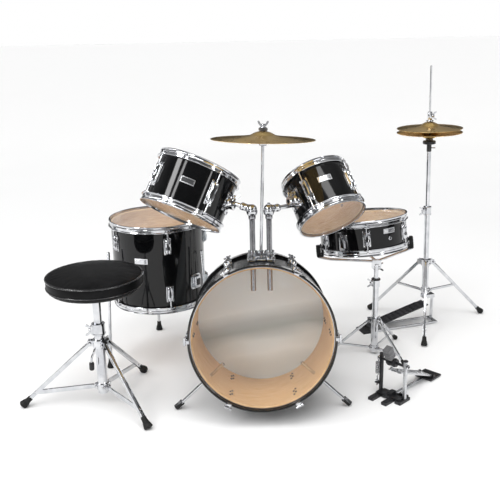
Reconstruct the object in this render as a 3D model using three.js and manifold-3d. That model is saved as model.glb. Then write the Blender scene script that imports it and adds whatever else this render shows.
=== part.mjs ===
// Small acoustic drum kit: bass drum with two rack toms and a crash, floor tom, snare on its
// stand, hi-hat stand, bass pedal and throne. Millimetres, +Z up, the front of the bass drum
// faces -Y and +X is to the right of someone looking at that front.
import * as THREE from 'three';
import { mergeVertices } from 'three/addons/utils/BufferGeometryUtils.js';
import Module from 'manifold-3d';

const wasm = await Module();
wasm.setup();

// ---------------------------------------------------------------- driving dimensions
const GAP = 0.4; // clearance kept between neighbouring pieces
const SEG = 24; // facets round a drum or cymbal
const BSEG = 32; // facets round the bass drum
const RAD = Math.PI / 180;

const BASS = { pos: [29.4, 1932, 256.7], tilt: 9.2, R: 203, wall: 6, hoopR: 210, len: 300, hoopW: 38, rearW: 34 };
const BRACKET = { x: 3, z: -150, top: 232, postX: [-21.4, 27.6], rodX: 3.6 };
const KNUCKLE_Y = 352; // height of the ball knuckles above the bass drum's axis
const TOM_L = { pos: [-174, 2207.8, 623.1], up: [0.388, 0.378, 0.841], R: 123.2, hoopR: 131.8, H: 163, aim: 6 };
const TOM_R = { pos: [225.7, 2242.3, 588.7], up: [-0.313, 0.606, 0.731], R: 100, hoopR: 109.5, H: 162, aim: -12 };
const FLOOR_TOM = { pos: [-309, 2445, 346], R: 153, hoopR: 161, H: 292, legTop: 400, legR0: 185, legR1: 207, legAz: [101, 216, 325] };
const SNARE = { pos: [379.4, 2431.3, 426], up: [-0.085, 0.103, 0.991], R: 143, hoopR: 150, H: 114 };
const CRASH = { base: [33, 2117, 461], top: [43.2, 2137.5, 783], R: 149.5, bellR: 36, rise: 24 };
const HIHAT = { pos: [657, 2668, 0], lean: -1.07, R: 114, hubZ: 239, collarZ: 128, clampZ: 421,
  feet: [[895.9, 2746.6], [472, 2814.8], [605.2, 2439.7]], boardYaw: 197 };
const SSTAND = { pos: [421, 2395, 0], hubZ: 122, collarZ: 22, clampZ: 258, az: [50, 176, -56], footR: 150 };
const THRONE = { pos: [-453, 2072, 0], R: 141, seatZ: 372, seatT: 47, hubZ: 200, collarZ: 60, az: [184, 313, 66], footR: [243, 227, 231] };
const PEDAL = { pos: [424, 2070, 0], yaw: 44, half: 43, postH: 132, axleZ: 116, boardL: 194 };

// ---------------------------------------------------------------- finishes
const mat = (color, roughness, metalness, extra = {}) => new THREE.MeshStandardMaterial({ color, roughness, metalness, ...extra });
const M = {
  wrap: mat(0x0b0b0d, 0.12, 0.0),
  hoopBlack: mat(0x101012, 0.2, 0.0),
  chrome: mat(0xd8dade, 0.12, 1.0),
  darkMetal: mat(0x2a2c30, 0.45, 0.6),
  clearHead: mat(0xf2f2f0, 0.1, 0.0, { transparent: true, opacity: 0.35 }),
  greyHead: mat(0xa9abad, 0.35, 0.0),
  whiteHead: mat(0xe9e8e2, 0.5, 0.0),
  brass: mat(0xc9a24a, 0.3, 1.0),
  black: mat(0x17171a, 0.55, 0.0),
  vinyl: mat(0x121214, 0.4, 0.0),
};

// ---------------------------------------------------------------- solids
const V = (x, y, z) => new THREE.Vector3(x, y, z);
function solid(geometry, matrix) {
  const g = geometry.index ? geometry.toNonIndexed() : geometry.clone();
  for (const a of Object.keys(g.attributes)) if (a !== 'position') g.deleteAttribute(a);
  if (matrix) g.applyMatrix4(matrix);
  const m = mergeVertices(g, 1e-3);
  return new wasm.Manifold(new wasm.Mesh({
    numProp: 3, vertProperties: new Float32Array(m.attributes.position.array), triVerts: new Uint32Array(m.index.array) }));
}
function geometryOf(s) {
  const k = s.getMesh();
  const g = new THREE.BufferGeometry();
  g.setAttribute('position', new THREE.BufferAttribute(new Float32Array(k.vertProperties), 3));
  g.setIndex(new THREE.BufferAttribute(new Uint32Array(k.triVerts), 1));
  g.computeVertexNormals();
  return g;
}
const union = (...s) => s.flat().reduce((a, b) => a.add(b));
const cut = (s, ...holes) => holes.flat().reduce((a, b) => a.subtract(b), s);
// closed ring or disc of revolution about Z; profile is [r, z] pairs, closed when it never meets the axis
function lathe(profile, seg = SEG) {
  const pts = profile.map(([r, z]) => new THREE.Vector2(r, z));
  if (profile[0][0] > 0) pts.push(pts[0].clone());
  const toZ = new THREE.Matrix4().makeRotationX(Math.PI / 2);
  const s = solid(new THREE.LatheGeometry(pts, seg), toZ);
  return s.volume() < 0 ? solid(new THREE.LatheGeometry(pts.reverse(), seg), toZ) : s;
}
const tube = (ro, ri, z0, z1, seg = SEG) => lathe([[ri, z0], [ro, z0], [ro, z1], [ri, z1]], seg);
const disc = (r, z0, z1, seg = SEG) => lathe([[0, z0], [r, z0], [r, z1], [0, z1]], seg);
function along(p, q) {
  const d = q.clone().sub(p), quat = new THREE.Quaternion().setFromUnitVectors(V(0, 0, 1), d.clone().normalize());
  return new THREE.Matrix4().compose(p, quat, V(1, 1, 1));
}
function rod(p, q, r, seg = 12, r2 = r) {
  const L = q.distanceTo(p);
  const g = new THREE.CylinderGeometry(r2, r, L, seg).rotateX(Math.PI / 2).translate(0, 0, L / 2);
  return solid(g, along(p, q));
}
function box(x0, x1, y0, y1, z0, z1, matrix) {
  return solid(new THREE.BoxGeometry(x1 - x0, y1 - y0, z1 - z0).translate((x0 + x1) / 2, (y0 + y1) / 2, (z0 + z1) / 2), matrix);
}
// flat or square bar from p to q: w across, t thick; side is the direction of w
function bar(p, q, w, t, side) {
  const z = q.clone().sub(p), L = z.length();
  z.normalize();
  const x = side.clone().addScaledVector(z, -side.dot(z)).normalize(), y = z.clone().cross(x);
  return box(-w / 2, w / 2, -t / 2, t / 2, 0, L, new THREE.Matrix4().makeBasis(x, y, z).setPosition(p));
}
const ball = (p, r, a = 12, b = 8) => solid(new THREE.SphereGeometry(r, a, b), new THREE.Matrix4().setPosition(p));

// ---------------------------------------------------------------- scene helpers
const kit = new THREE.Group();
kit.userData.pivots = {};
const pivots = kit.userData.pivots; // joint name -> {pos, axis} in kit coordinates, millimetres
function unit(pos, quat) {
  const g = new THREE.Group();
  g.position.set(...pos);
  if (quat) g.quaternion.copy(quat);
  kit.add(g);
  g.updateMatrixWorld(true);
  return g;
}
function add(group, name, s, material) {
  const mesh = new THREE.Mesh(geometryOf(s), material);
  mesh.name = name;
  group.add(mesh);
  return mesh;
}
function pivot(name, group, pos, axis) {
  group.updateMatrixWorld(true);
  pivots[name] = { pos: pos.clone().applyMatrix4(group.matrixWorld).toArray(), axis: axis.clone().transformDirection(group.matrixWorld).toArray() };
}
function frameQuat(zAxis, towards) {
  const z = zAxis.clone().normalize();
  const x = towards.clone().addScaledVector(z, -towards.dot(z)).normalize();
  return new THREE.Quaternion().setFromRotationMatrix(new THREE.Matrix4().makeBasis(x, z.clone().cross(x), z));
}

// a pressed metal hoop: band round the shell, lip at the head and a flange carrying the ears
function metalHoop(R, Rh, z0, z1, dir) {
  const band = R + 4.4, a = dir > 0 ? z0 : z1, b = dir > 0 ? z1 : z0;
  return lathe([[R + 1.2, a], [Rh, a], [Rh, a + 4 * dir], [band, a + 4 * dir], [band, b], [R + 1.2, b]]);
}
function drum(group, name, { R, hoopR, H }, holes = [], wall = 6) {
  const h = H / 2;
  add(group, `${name}_shell`, cut(tube(R, R - wall, -h + 8, h - 8), holes), M.wrap);
  add(group, `${name}_top_hoop`, metalHoop(R, hoopR, h - 22, h, 1), M.chrome);
  add(group, `${name}_bottom_hoop`, metalHoop(R, hoopR, -h, -h + 22, -1), M.chrome);
  add(group, `${name}_head`, disc(R + 0.6, h - 7.6, h - 5.6), name === 'floor_tom' ? M.clearHead : M.whiteHead);
}

// ---------------------------------------------------------------- bass drum (local Z points out of its front, Y up)
const bassQuat = new THREE.Quaternion().setFromAxisAngle(V(1, 0, 0), (90 - BASS.tilt) * RAD);
const bass = unit(BASS.pos, bassQuat);
{
  const { R, wall, hoopR, len, hoopW, rearW } = BASS;
  const postHoles = BRACKET.postX.map((x) => rod(V(x, 150, BRACKET.z), V(x, 240, BRACKET.z), 9.2));
  const spurs = [-1, 1].map((s) => {
    const cross = V(s * 155.5, -130.5, -95), foot = V(s * 264.5, -238.5, -132);
    return { s, cross, dir: foot.clone().sub(cross).normalize() };
  });
  const spurHoles = spurs.map(({ cross, dir }) => rod(cross.clone().addScaledVector(dir, -30), cross.clone().addScaledVector(dir, 30), 6.4));
  add(bass, 'bass_shell', cut(tube(R, R - wall, -len + 14, -14, BSEG), postHoles, spurHoles), M.wrap);
  add(bass, 'bass_front_hoop', tube(hoopR, R + 0.8, -hoopW, 0, BSEG), M.hoopBlack);
  add(bass, 'bass_rear_hoop', tube(hoopR, R + 0.8, -len, -len + rearW, BSEG), M.hoopBlack);
  add(bass, 'bass_front_head', disc(R + 0.3, -13.6, -12, BSEG), M.clearHead);
  add(bass, 'bass_batter_head', disc(R + 0.3, -len + 12, -len + 13.6, BSEG), M.greyHead);

  const { x, z, top, postX, rodX } = BRACKET;
  let block = union(box(x - 38, x + 38, 196, 209, z - 34, z + 34), box(postX[0] - 13, postX[1] + 13, 200, top, z - 15, z + 15));
  block = cut(block, disc(R + 0.5, z - 60, z + 60, BSEG), postX.map((px) => rod(V(px, 190, z), V(px, top + 5, z), 8.9)), rod(V(rodX, 209, z), V(rodX, top + 5, z), 5.3));
  add(bass, 'tom_bracket', block, M.chrome);

  const toWorld = bass.matrixWorld;
  for (const { s, cross, dir } of spurs) {
    const side = s < 0 ? 'left' : 'right';
    const inner = cross.clone().addScaledVector(dir, -62);
    // walk outward until the rubber tip's rim is just above the floor
    const wdir = dir.clone().transformDirection(toWorld);
    const sin = Math.sqrt(1 - wdir.z * wdir.z);
    let t = 0;
    while (cross.clone().addScaledVector(dir, t).applyMatrix4(toWorld).z > 9 * sin + 0.3) t += 0.1;
    const tip = cross.clone().addScaledVector(dir, t);
    add(bass, `spur_${side}`, union(rod(inner, tip.clone().addScaledVector(dir, -4), 5), rod(tip.clone().addScaledVector(dir, -26), tip, 9, 10)), M.chrome);
    pivot(`spur_${side}_slide`, bass, cross, dir);
  }
  // posts and knuckles of the rack toms
  postX.forEach((px, i) => {
    const side = i ? 'right' : 'left';
    add(bass, `${side}_tom_post`, union(rod(V(px, 112, z), V(px, KNUCKLE_Y - 16, z), 8), rod(V(px, KNUCKLE_Y - 30, z), V(px, KNUCKLE_Y - 16, z), 10.5)), M.chrome);
    pivot(`${side}_tom_height`, bass, V(px, KNUCKLE_Y, z), V(0, 1, 0));
  });
}
const knuckle = BRACKET.postX.map((px) => V(px, KNUCKLE_Y, BRACKET.z).applyMatrix4(bass.matrixWorld));

// ---------------------------------------------------------------- rack toms on their arms
[['left', TOM_L, knuckle[0]], ['right', TOM_R, knuckle[1]]].forEach(([side, T, K]) => {
  const c = V(...T.pos), up = V(...T.up).normalize();
  const tom = unit(T.pos, frameQuat(up, K.clone().sub(c)));
  const aim = c.clone().addScaledVector(up, T.aim); // point of the drum's axis that the arm points at
  const dir = aim.clone().sub(K).normalize(), reach = aim.distanceTo(K);
  const armUnit = unit(K.toArray(), new THREE.Quaternion().setFromUnitVectors(V(1, 0, 0), dir));
  const Klocal = K.clone().applyMatrix4(tom.matrixWorld.clone().invert());
  const aimLocal = V(0, 0, T.aim);
  const hole = rod(Klocal.clone().lerp(aimLocal, 0.25), aimLocal.clone().lerp(Klocal, 0.3), 8.2);
  drum(tom, `${side}_tom`, T, [hole]);
  add(armUnit, `${side}_tom_arm`, union(ball(V(0, 0, 0), 15, 14, 10), rod(V(8, 0, 0), V(34, 0, 0), 10.5), rod(V(8, 0, 0), V(reach - T.R + 30, 0, 0), 6.5)), M.chrome);
  const postDir = V(0, 1, 0).transformDirection(bass.matrixWorld);
  const tiltAxis = dir.clone().cross(postDir).normalize(); // positive turns the drum upwards
  pivots[`${side}_tom_tilt`] = { pos: K.toArray(), axis: tiltAxis.toArray() };
  pivots[`${side}_tom_roll`] = { pos: K.clone().addScaledVector(dir, reach - T.R).toArray(), axis: dir.toArray() };
});

// ---------------------------------------------------------------- crash cymbal on the bracket's centre rod
{
  const p = V(...CRASH.base), q = V(...CRASH.top), axis = q.clone().sub(p).normalize();
  const crash = unit(CRASH.top, frameQuat(axis, V(1, 0, 0)));
  const { R, bellR, rise } = CRASH;
  // top of the rod in the bracket's socket, square to the bass drum, then up to the cymbal
  const inv = crash.matrixWorld.clone().invert();
  const foot = V(BRACKET.rodX, 209.6, BRACKET.z).applyMatrix4(bass.matrixWorld).applyMatrix4(inv);
  const mouth = V(BRACKET.rodX, BRACKET.top + 14, BRACKET.z).applyMatrix4(bass.matrixWorld).applyMatrix4(inv);
  const s = union(rod(foot, mouth, 4.4), ball(mouth, 4.4, 8, 6), rod(mouth, V(0, 0, 44), 4.4, 12), rod(V(0, 0, -16), V(0, 0, 3), 11, 12));
  add(crash, 'crash_rod', s, M.chrome);
  const t = 1.6;
  add(crash, 'crash_cymbal', lathe([[6, rise - t + 0.5], [bellR * 0.5, rise - 3.4 - t], [bellR, rise - 10.5 - t], [R * 0.62, 5.2 - t], [R, 0 - t * 0.4], [R, 0.9], [R * 0.62, 5.2 + t * 0.4], [bellR, rise - 10.5], [bellR * 0.5, rise - 3], [6, rise + 0.6]]), M.brass);
  pivot('crash_height', bass, V(BRACKET.rodX, BRACKET.top, BRACKET.z), V(0, 1, 0));
  pivot('crash_rock', crash, V(0, 0, rise - 4), V(1, 0, 0));
}

// ---------------------------------------------------------------- floor tom on three legs
{
  const F = FLOOR_TOM;
  const ft = unit(F.pos);
  drum(ft, 'floor_tom', F);
  F.legAz.forEach((deg, i) => {
    const name = ['back', 'left', 'right'][i], e = V(Math.cos(deg * RAD), Math.sin(deg * RAD), 0);
    const floorZ = -F.pos[2];
    const top = e.clone().multiplyScalar(F.legR0).setZ(floorZ + F.legTop);
    const end = e.clone().multiplyScalar(F.legR1).setZ(floorZ + 1);
    const dir = end.clone().sub(top).normalize();
    add(ft, `floor_tom_leg_${name}`, union(rod(top, end.clone().addScaledVector(dir, -4), 5), rod(end.clone().addScaledVector(dir, -30), end, 10.5, 10)), M.chrome);
    pivot(`floor_tom_leg_${name}_slide`, ft, top, dir.clone().negate());
  });
}

// ---------------------------------------------------------------- tripod legs shared by the three stands
// ears on the hub ring hold the leg's top between them
function ears(azimuths, z, r0, r1, halfLeg) {
  return azimuths.flatMap((a) => [-1, 1].map((s) => {
    const m = new THREE.Matrix4().makeRotationZ(a * RAD);
    const y0 = s > 0 ? halfLeg + 0.8 : -halfLeg - 3.8;
    return box(r0, r1, y0, y0 + 3, z - 9, z + 9, m);
  }));
}
function leg(group, name, pivotPoint, footXY, halfLeg, footRad, footLen = 24) {
  const flat = V(footXY[0] - pivotPoint.x, footXY[1] - pivotPoint.y, 0), r = flat.length();
  const phi0 = Math.atan2(r, pivotPoint.z), tipZ = footRad * Math.sin(phi0) + 0.3;
  const tip = V(footXY[0], footXY[1], tipZ), dir = tip.clone().sub(pivotPoint).normalize();
  const tangent = V(0, 0, 1).cross(flat.clone().normalize());
  const body = bar(pivotPoint.clone().addScaledVector(dir, -halfLeg), tip.clone().addScaledVector(dir, -4), 2 * halfLeg, 2 * halfLeg, tangent);
  add(group, name, union(body, rod(tip.clone().addScaledVector(dir, -footLen), tip, footRad, 10)), M.chrome);
  const phi = Math.atan2(r, pivotPoint.z - tipZ);
  pivot(`${name}_fold`, group, pivotPoint, tangent);
  return { phi: phi / RAD, length: tip.distanceTo(pivotPoint), drop: pivotPoint.z - tipZ };
}
kit.userData.legs = {};

// ---------------------------------------------------------------- snare drum
const snareQuat = frameQuat(V(...SNARE.up), V(1, 0, 0));
const snare = unit(SNARE.pos, snareQuat);
{
  const S = SNARE, h = S.H / 2;
  drum(snare, 'snare', S);
  // throw-off lever on the shell's front left, hinged at its lower end
  const a = 236 * RAD, m = new THREE.Matrix4().makeRotationZ(a);
  add(snare, 'snare_strainer_lever', union(box(S.R + 9, S.R + 14, -6, 6, -24, 26, m), box(S.R + 9, S.R + 20, -9, 9, 22, 30, m)), M.chrome);
  pivot('snare_strainer', snare, V((S.R + 11.5) * Math.cos(a), (S.R + 11.5) * Math.sin(a), -24), V(-Math.sin(a), Math.cos(a), 0));
}

// ---------------------------------------------------------------- snare stand
const sstand = unit(SSTAND.pos);
{
  const { hubZ, collarZ, clampZ, az, footR } = SSTAND;
  add(sstand, 'snare_stand_base_tube', lathe([[8.6, 6], [10, 6], [10, clampZ - 14], [13.5, clampZ - 14], [13.5, clampZ + 10], [8.6, clampZ + 10]], 16), M.chrome);
  const sleeve = lathe([[10.6, collarZ - 9], [14, collarZ - 9], [14, collarZ + 9], [11.8, collarZ + 9], [11.8, hubZ - 9], [15, hubZ - 9], [15, hubZ + 9], [10.6, hubZ + 9]], 16);
  add(sstand, 'snare_stand_tripod_sleeve', union(sleeve, ears(az, hubZ, 12.5, 25, 3)), M.chrome);
  kit.userData.legs.snare_stand = az.map((a, i) => leg(sstand, `snare_stand_leg_${i + 1}`, V(20 * Math.cos(a * RAD), 20 * Math.sin(a * RAD), hubZ), [footR * Math.cos(a * RAD), footR * Math.sin(a * RAD)], 3, 7, 22));
  const neck = clampZ + 50;
  add(sstand, 'snare_stand_upper_tube', union(rod(V(0, 0, clampZ - 100), V(0, 0, neck), 7.8), box(-5, 5, -11, 11, neck - 6, neck + 16)), M.chrome);
  pivot('snare_stand_height', sstand, V(0, 0, clampZ), V(0, 0, 1));
  pivot('snare_stand_sleeve', sstand, V(0, 0, hubZ), V(0, 0, 1));
  // basket: fork on the tilter, three arms under the drum, rubber-covered grips round the bottom hoop
  const hinge = V(0, 0, neck + 8);
  const toStand = (v) => v.applyMatrix4(snare.matrixWorld).sub(sstand.position);
  const hub = V(0, 0, neck + 24);
  const parts = [box(-15, -6, -9, 9, neck + 1, neck + 30), box(6, 15, -9, 9, neck + 1, neck + 30), box(-15, 15, -9, 9, neck + 17.5, neck + 30)];
  const h = SNARE.H / 2, Rg = SNARE.hoopR + 1.2;
  for (const deg of [184, -8, 88]) {
    const e = (r, z) => V(r * Math.cos(deg * RAD), r * Math.sin(deg * RAD), z);
    const knee = toStand(e(Rg - 34, -h - 24)), under = toStand(e(Rg + 4, -h - 12)), low = toStand(e(Rg + 4, -h - 1)), high = toStand(e(Rg + 4, -h + 26));
    const lipIn = toStand(e(Rg - 8, -h - 4.5)), lipOut = toStand(e(Rg + 6, -h - 4.5));
    const side = V(-Math.sin(deg * RAD), Math.cos(deg * RAD), 0).transformDirection(snare.matrixWorld);
    parts.push(rod(hub, knee, 4.6, 6), ball(knee, 4.8, 6, 4), rod(knee, under, 4.6, 6), ball(under, 4.8, 6, 4), bar(under, high, 13, 7, side), bar(lipIn, lipOut, 13, 7, side));
  }
  add(sstand, 'snare_basket', union(parts), M.chrome);
  pivot('snare_basket_tilt', sstand, hinge, V(1, 0, 0));
}

// ---------------------------------------------------------------- hi-hat
{
  const H = HIHAT;
  const floorUnit = unit(H.pos);
  const lean = unit(H.pos, new THREE.Quaternion().setFromAxisAngle(V(0, 1, 0), H.lean * RAD));
  // base tube with its floor frame: flat bar behind the tube, rod along the floor, heel plate
  const yaw = H.boardYaw * RAD, d = V(Math.cos(yaw), Math.sin(yaw), 0), n = V(-Math.sin(yaw), Math.cos(yaw), 0);
  const at = (r, s, z) => d.clone().multiplyScalar(r).addScaledVector(n, s).setZ(z);
  const tilted = new THREE.Matrix4().makeRotationY(H.lean * RAD);
  const baseTube = lathe([[8.4, 100], [9.6, 100], [9.6, H.clampZ - 2], [13.6, H.clampZ - 2], [13.6, H.clampZ + 30], [8.4, H.clampZ + 30]], 16).transform(tilted.elements.slice());
  const heel = 238;
  const frameParts = [
    cut(box(-31, 14, -13, 13, 100, 113, new THREE.Matrix4().makeBasis(d, n, V(0, 0, 1)).setPosition(at(-1, 0, 0))), rod(V(-1.9, 0, 90), V(-1.9, 0, 120), 8.6, 16)),
    bar(at(-28, 0, 110), at(-28, 0, 3), 16, 4, n), bar(at(-30, 0, 5), at(-30, 0, 9.6), 60, 18, n),
    bar(at(-28, -27, 7), at(heel - 20, -27, 5), 7, 6, n), bar(at(-28, 27, 7), at(heel - 20, 27, 5), 7, 6, n),
    bar(at(heel - 24, 0, 2.2), at(heel + 30, 0, 2.2), 66, 4, n),
    bar(at(heel - 2, -29, 3), at(heel - 2, -29, 15), 4, 12, n), bar(at(heel - 2, 29, 3), at(heel - 2, 29, 15), 4, 12, n)];
  add(floorUnit, 'hihat_base_tube', union(baseTube, frameParts), M.chrome);
  const sleeve = lathe([[10.4, H.collarZ - 9], [15, H.collarZ - 9], [15, H.collarZ + 9], [12, H.collarZ + 9], [12, H.hubZ - 11], [17, H.hubZ - 11], [17, H.hubZ + 11], [10.4, H.hubZ + 11]], 16);
  const feetLocal = H.feet.map(([x, y]) => [x - H.pos[0], y - H.pos[1]]);
  const az = feetLocal.map(([x, y]) => Math.atan2(y, x + 4) / RAD);
  add(lean, 'hihat_tripod_sleeve', union(sleeve, ears(az, H.hubZ, 14, 31, 4.5)), M.chrome);
  kit.userData.legs.hihat = az.map((a, i) => leg(floorUnit, `hihat_leg_${i + 1}`, V(25 * Math.cos(a * RAD), 25 * Math.sin(a * RAD), H.hubZ).applyMatrix4(tilted), feetLocal[i], 4.5, 9, 26));
  add(lean, 'hihat_upper_tube', cut(union(rod(V(0, 0, 300), V(0, 0, 684), 7.7, 12), disc(22, 680, 689, 16), disc(12, 688, 695, 12)), rod(V(0, 0, 290), V(0, 0, 700), 4.2, 12)), M.chrome);
  add(lean, 'hihat_pull_rod', union(rod(V(0, 0, 92), V(0, 0, 950), 3, 10), disc(9, 741.5, 748, 12), disc(7, 762, 792, 12)), M.chrome);
  const R = H.R, t = 1.6;
  const bell = (z, s) => [[6, z + s * 24], [22, z + s * 19], [32, z + s * 12.5], [R * 0.66, z + s * 5], [R, z + s * 0.3]];
  const shellOf = (z, s) => { const lo = bell(z, s); return lathe([...lo.map(([r, zz]) => [r, zz]), ...lo.slice().reverse().map(([r, zz]) => [r, zz + t])]); };
  add(lean, 'hihat_bottom_cymbal', shellOf(719.5, -1).translate(0, 0, 0), M.brass);
  add(lean, 'hihat_top_cymbal', shellOf(735, 1), M.brass);
  const board = [bar(at(heel - 2, 0, 13), at(2, 0, 79), 52, 4, n)];
  add(floorUnit, 'hihat_footboard', union(board), M.chrome);
  pivot('hihat_pedal', floorUnit, at(heel - 2, 0, 13), n);
  for (const nme of ['hihat_height', 'hihat_rod_slide', 'hihat_sleeve']) pivot(nme, lean, V(0, 0, nme === 'hihat_sleeve' ? H.hubZ : 500), V(0, 0, 1));
}

// ---------------------------------------------------------------- throne
{
  const T = THRONE;
  const th = unit(T.pos);
  const { R, seatZ: z, seatT: t } = T;
  add(th, 'throne_seat', lathe([[0, z], [R - 16, z], [R - 3, z + 6], [R, z + t * 0.5], [R - 1, z + t - 7], [R - 9, z + t - 1], [R * 0.6, z + t + 3], [0, z + t + 5]], 28), M.vinyl);
  add(th, 'throne_post', union(rod(V(0, 0, 140), V(0, 0, z - 4), 12.3, 16), disc(48, z - 5, z - GAP, 20)), M.chrome);
  const prof = [[13.2, 38], [15, 38], [15, T.collarZ - 9], [19, T.collarZ - 9], [19, T.collarZ + 9], [15, T.collarZ + 9], [15, T.hubZ - 13], [21, T.hubZ - 13], [21, T.hubZ + 11], [15, T.hubZ + 11], [15, 226], [19, 226], [19, 262], [13.2, 262]];
  add(th, 'throne_base_tube', union(lathe(prof, 16), ears(T.az, T.hubZ, 17, 35, 5)), M.chrome);
  kit.userData.legs.throne = T.az.map((a, i) => leg(th, `throne_leg_${i + 1}`, V(28 * Math.cos(a * RAD), 28 * Math.sin(a * RAD), T.hubZ), [T.footR[i] * Math.cos(a * RAD), T.footR[i] * Math.sin(a * RAD)], 5, 10.5, 30));
  pivot('throne_height', th, V(0, 0, 262), V(0, 0, 1));
  pivot('throne_rise', th, V(0, 0, 200), V(0, 0, 1));
  pivot('throne_seat_spin', th, V(0, 0, z), V(0, 0, 1));
}

// ---------------------------------------------------------------- bass pedal (local X points from the posts to the heel)
{
  const P = PEDAL;
  const pd = unit(P.pos, new THREE.Quaternion().setFromAxisAngle(V(0, 0, 1), P.yaw * RAD));
  const { half: w, postH, axleZ, boardL: L } = P;
  const bore = rod(V(0, -w - 20, axleZ), V(0, w + 20, axleZ), 4.6, 12);
  const parts = [
    cut(box(-5, 5, w - 4, w + 4, 0.4, postH), bore), cut(box(-5, 5, -w - 4, -w + 4, 0.4, postH), bore),
    box(-24, 14, -w + 3, w - 3, 3, 12), box(-62, -16, w - 16, w + 2, 0, 9), box(-62, -16, -w + 22, -w + 40, 0, 9), box(-30, 22, -w - 6, -w + 14, 0, 9), box(-18, 14, w - 14, w + 6, 0, 9),
    box(-16, 8, -8, 8, 8, 22),
    bar(V(10, 0, 8), V(L - 20, 0, 5), 9, 5, V(0, 1, 0)), box(L - 28, L + 30, -30, 30, 3, 8), box(L - 24, L - 10, -26, 26, 0, 3.4), box(L + 14, L + 26, -26, 26, 0, 3.4),
    box(L - 14, L - 4, -29, -23, 7, 18), box(L - 14, L - 4, 23, 29, 7, 18)];
  add(pd, 'pedal_frame', union(parts), M.darkMetal);
  add(pd, 'pedal_footboard', union(bar(V(L - 9, 0, 13), V(8, 0, 84), 44, 4, V(0, 1, 0)), bar(V(14, -12, 82), V(4, -12, 92), 4, 10, V(0, 1, 0)), bar(V(14, 12, 82), V(4, 12, 92), 4, 10, V(0, 1, 0))), M.chrome);
  const axle = rod(V(0, -w - 12, axleZ), V(0, w + 12, axleZ), 4, 12);
  const top = V(-16, 6, axleZ + 34);
  add(pd, 'pedal_beater', union(axle, rod(V(0, -12, axleZ), V(0, 20, axleZ), 12, 14), rod(V(0, 6, axleZ), top, 6, 10), bar(V(-8, 6, axleZ + 16), V(-24, 6, axleZ + 50), 22, 24, V(0, 1, 0))), M.darkMetal);
  pivot('pedal_press', pd, V(L - 9, 0, 13), V(0, 1, 0));
  pivot('pedal_beater_swing', pd, V(0, 0, axleZ), V(0, 1, 0));
}

// ---------------------------------------------------------------- origin at the centre of the kit's floor area
kit.updateMatrixWorld(true);
const bounds = new THREE.Box3().setFromObject(kit, true);
const shift = V(-(bounds.min.x + bounds.max.x) / 2, -(bounds.min.y + bounds.max.y) / 2, -bounds.min.z);
for (const child of kit.children) child.position.add(shift);
kit.userData.shift = shift.toArray();
kit.updateMatrixWorld(true);

export default kit;
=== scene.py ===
import bpy, bmesh, math
from mathutils import Vector, Matrix


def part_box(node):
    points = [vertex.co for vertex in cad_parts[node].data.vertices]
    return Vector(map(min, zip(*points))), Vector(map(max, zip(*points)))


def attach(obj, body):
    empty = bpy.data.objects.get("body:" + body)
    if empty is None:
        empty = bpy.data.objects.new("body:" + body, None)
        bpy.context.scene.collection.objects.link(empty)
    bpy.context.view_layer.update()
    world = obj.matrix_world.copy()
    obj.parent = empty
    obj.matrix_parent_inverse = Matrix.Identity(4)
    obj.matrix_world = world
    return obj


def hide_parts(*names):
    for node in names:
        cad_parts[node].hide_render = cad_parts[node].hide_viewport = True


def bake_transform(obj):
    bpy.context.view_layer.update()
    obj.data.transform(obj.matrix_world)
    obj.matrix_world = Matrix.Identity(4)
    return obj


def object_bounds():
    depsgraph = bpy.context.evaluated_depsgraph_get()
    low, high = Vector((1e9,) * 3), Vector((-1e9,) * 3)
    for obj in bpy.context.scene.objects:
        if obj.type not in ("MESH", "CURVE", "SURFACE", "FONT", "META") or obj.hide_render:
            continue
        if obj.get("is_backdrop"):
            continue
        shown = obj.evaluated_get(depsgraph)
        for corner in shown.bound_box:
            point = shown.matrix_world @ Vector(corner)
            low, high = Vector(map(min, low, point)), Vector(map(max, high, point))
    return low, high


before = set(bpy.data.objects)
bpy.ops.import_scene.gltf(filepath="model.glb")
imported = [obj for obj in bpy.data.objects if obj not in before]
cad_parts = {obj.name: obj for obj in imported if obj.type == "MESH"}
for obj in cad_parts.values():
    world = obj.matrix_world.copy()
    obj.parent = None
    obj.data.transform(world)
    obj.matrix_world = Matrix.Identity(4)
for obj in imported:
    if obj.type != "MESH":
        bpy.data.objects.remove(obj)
CAD_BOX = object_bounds()
scene = bpy.context.scene
D = math.pi / 180
MM = 0.001

# ---------------------------------------------------------------- camera
P, R = 16.5 * D, 1.2 * D
right = Vector((math.cos(R), -math.sin(R) * math.sin(P), -math.sin(R) * math.cos(P)))
up = Vector((math.sin(R), math.cos(R) * math.sin(P), math.cos(R) * math.cos(P)))
fwd = Vector((0, math.cos(P), -math.sin(P)))
cam_data = bpy.data.cameras.new("camera")
cam_data.sensor_width = 36
cam_data.lens = 36 * 753 / 500
cam_data.clip_end = 200
cam = bpy.data.objects.new("camera", cam_data)
scene.collection.objects.link(cam)
cam.matrix_world = Matrix(((right.x, up.x, -fwd.x, -0.100045), (right.y, up.y, -fwd.y, -2.3601), (right.z, up.z, -fwd.z, 1.090), (0, 0, 0, 1)))
scene.camera = cam

# ---------------------------------------------------------------- materials
MATS = {}


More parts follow.
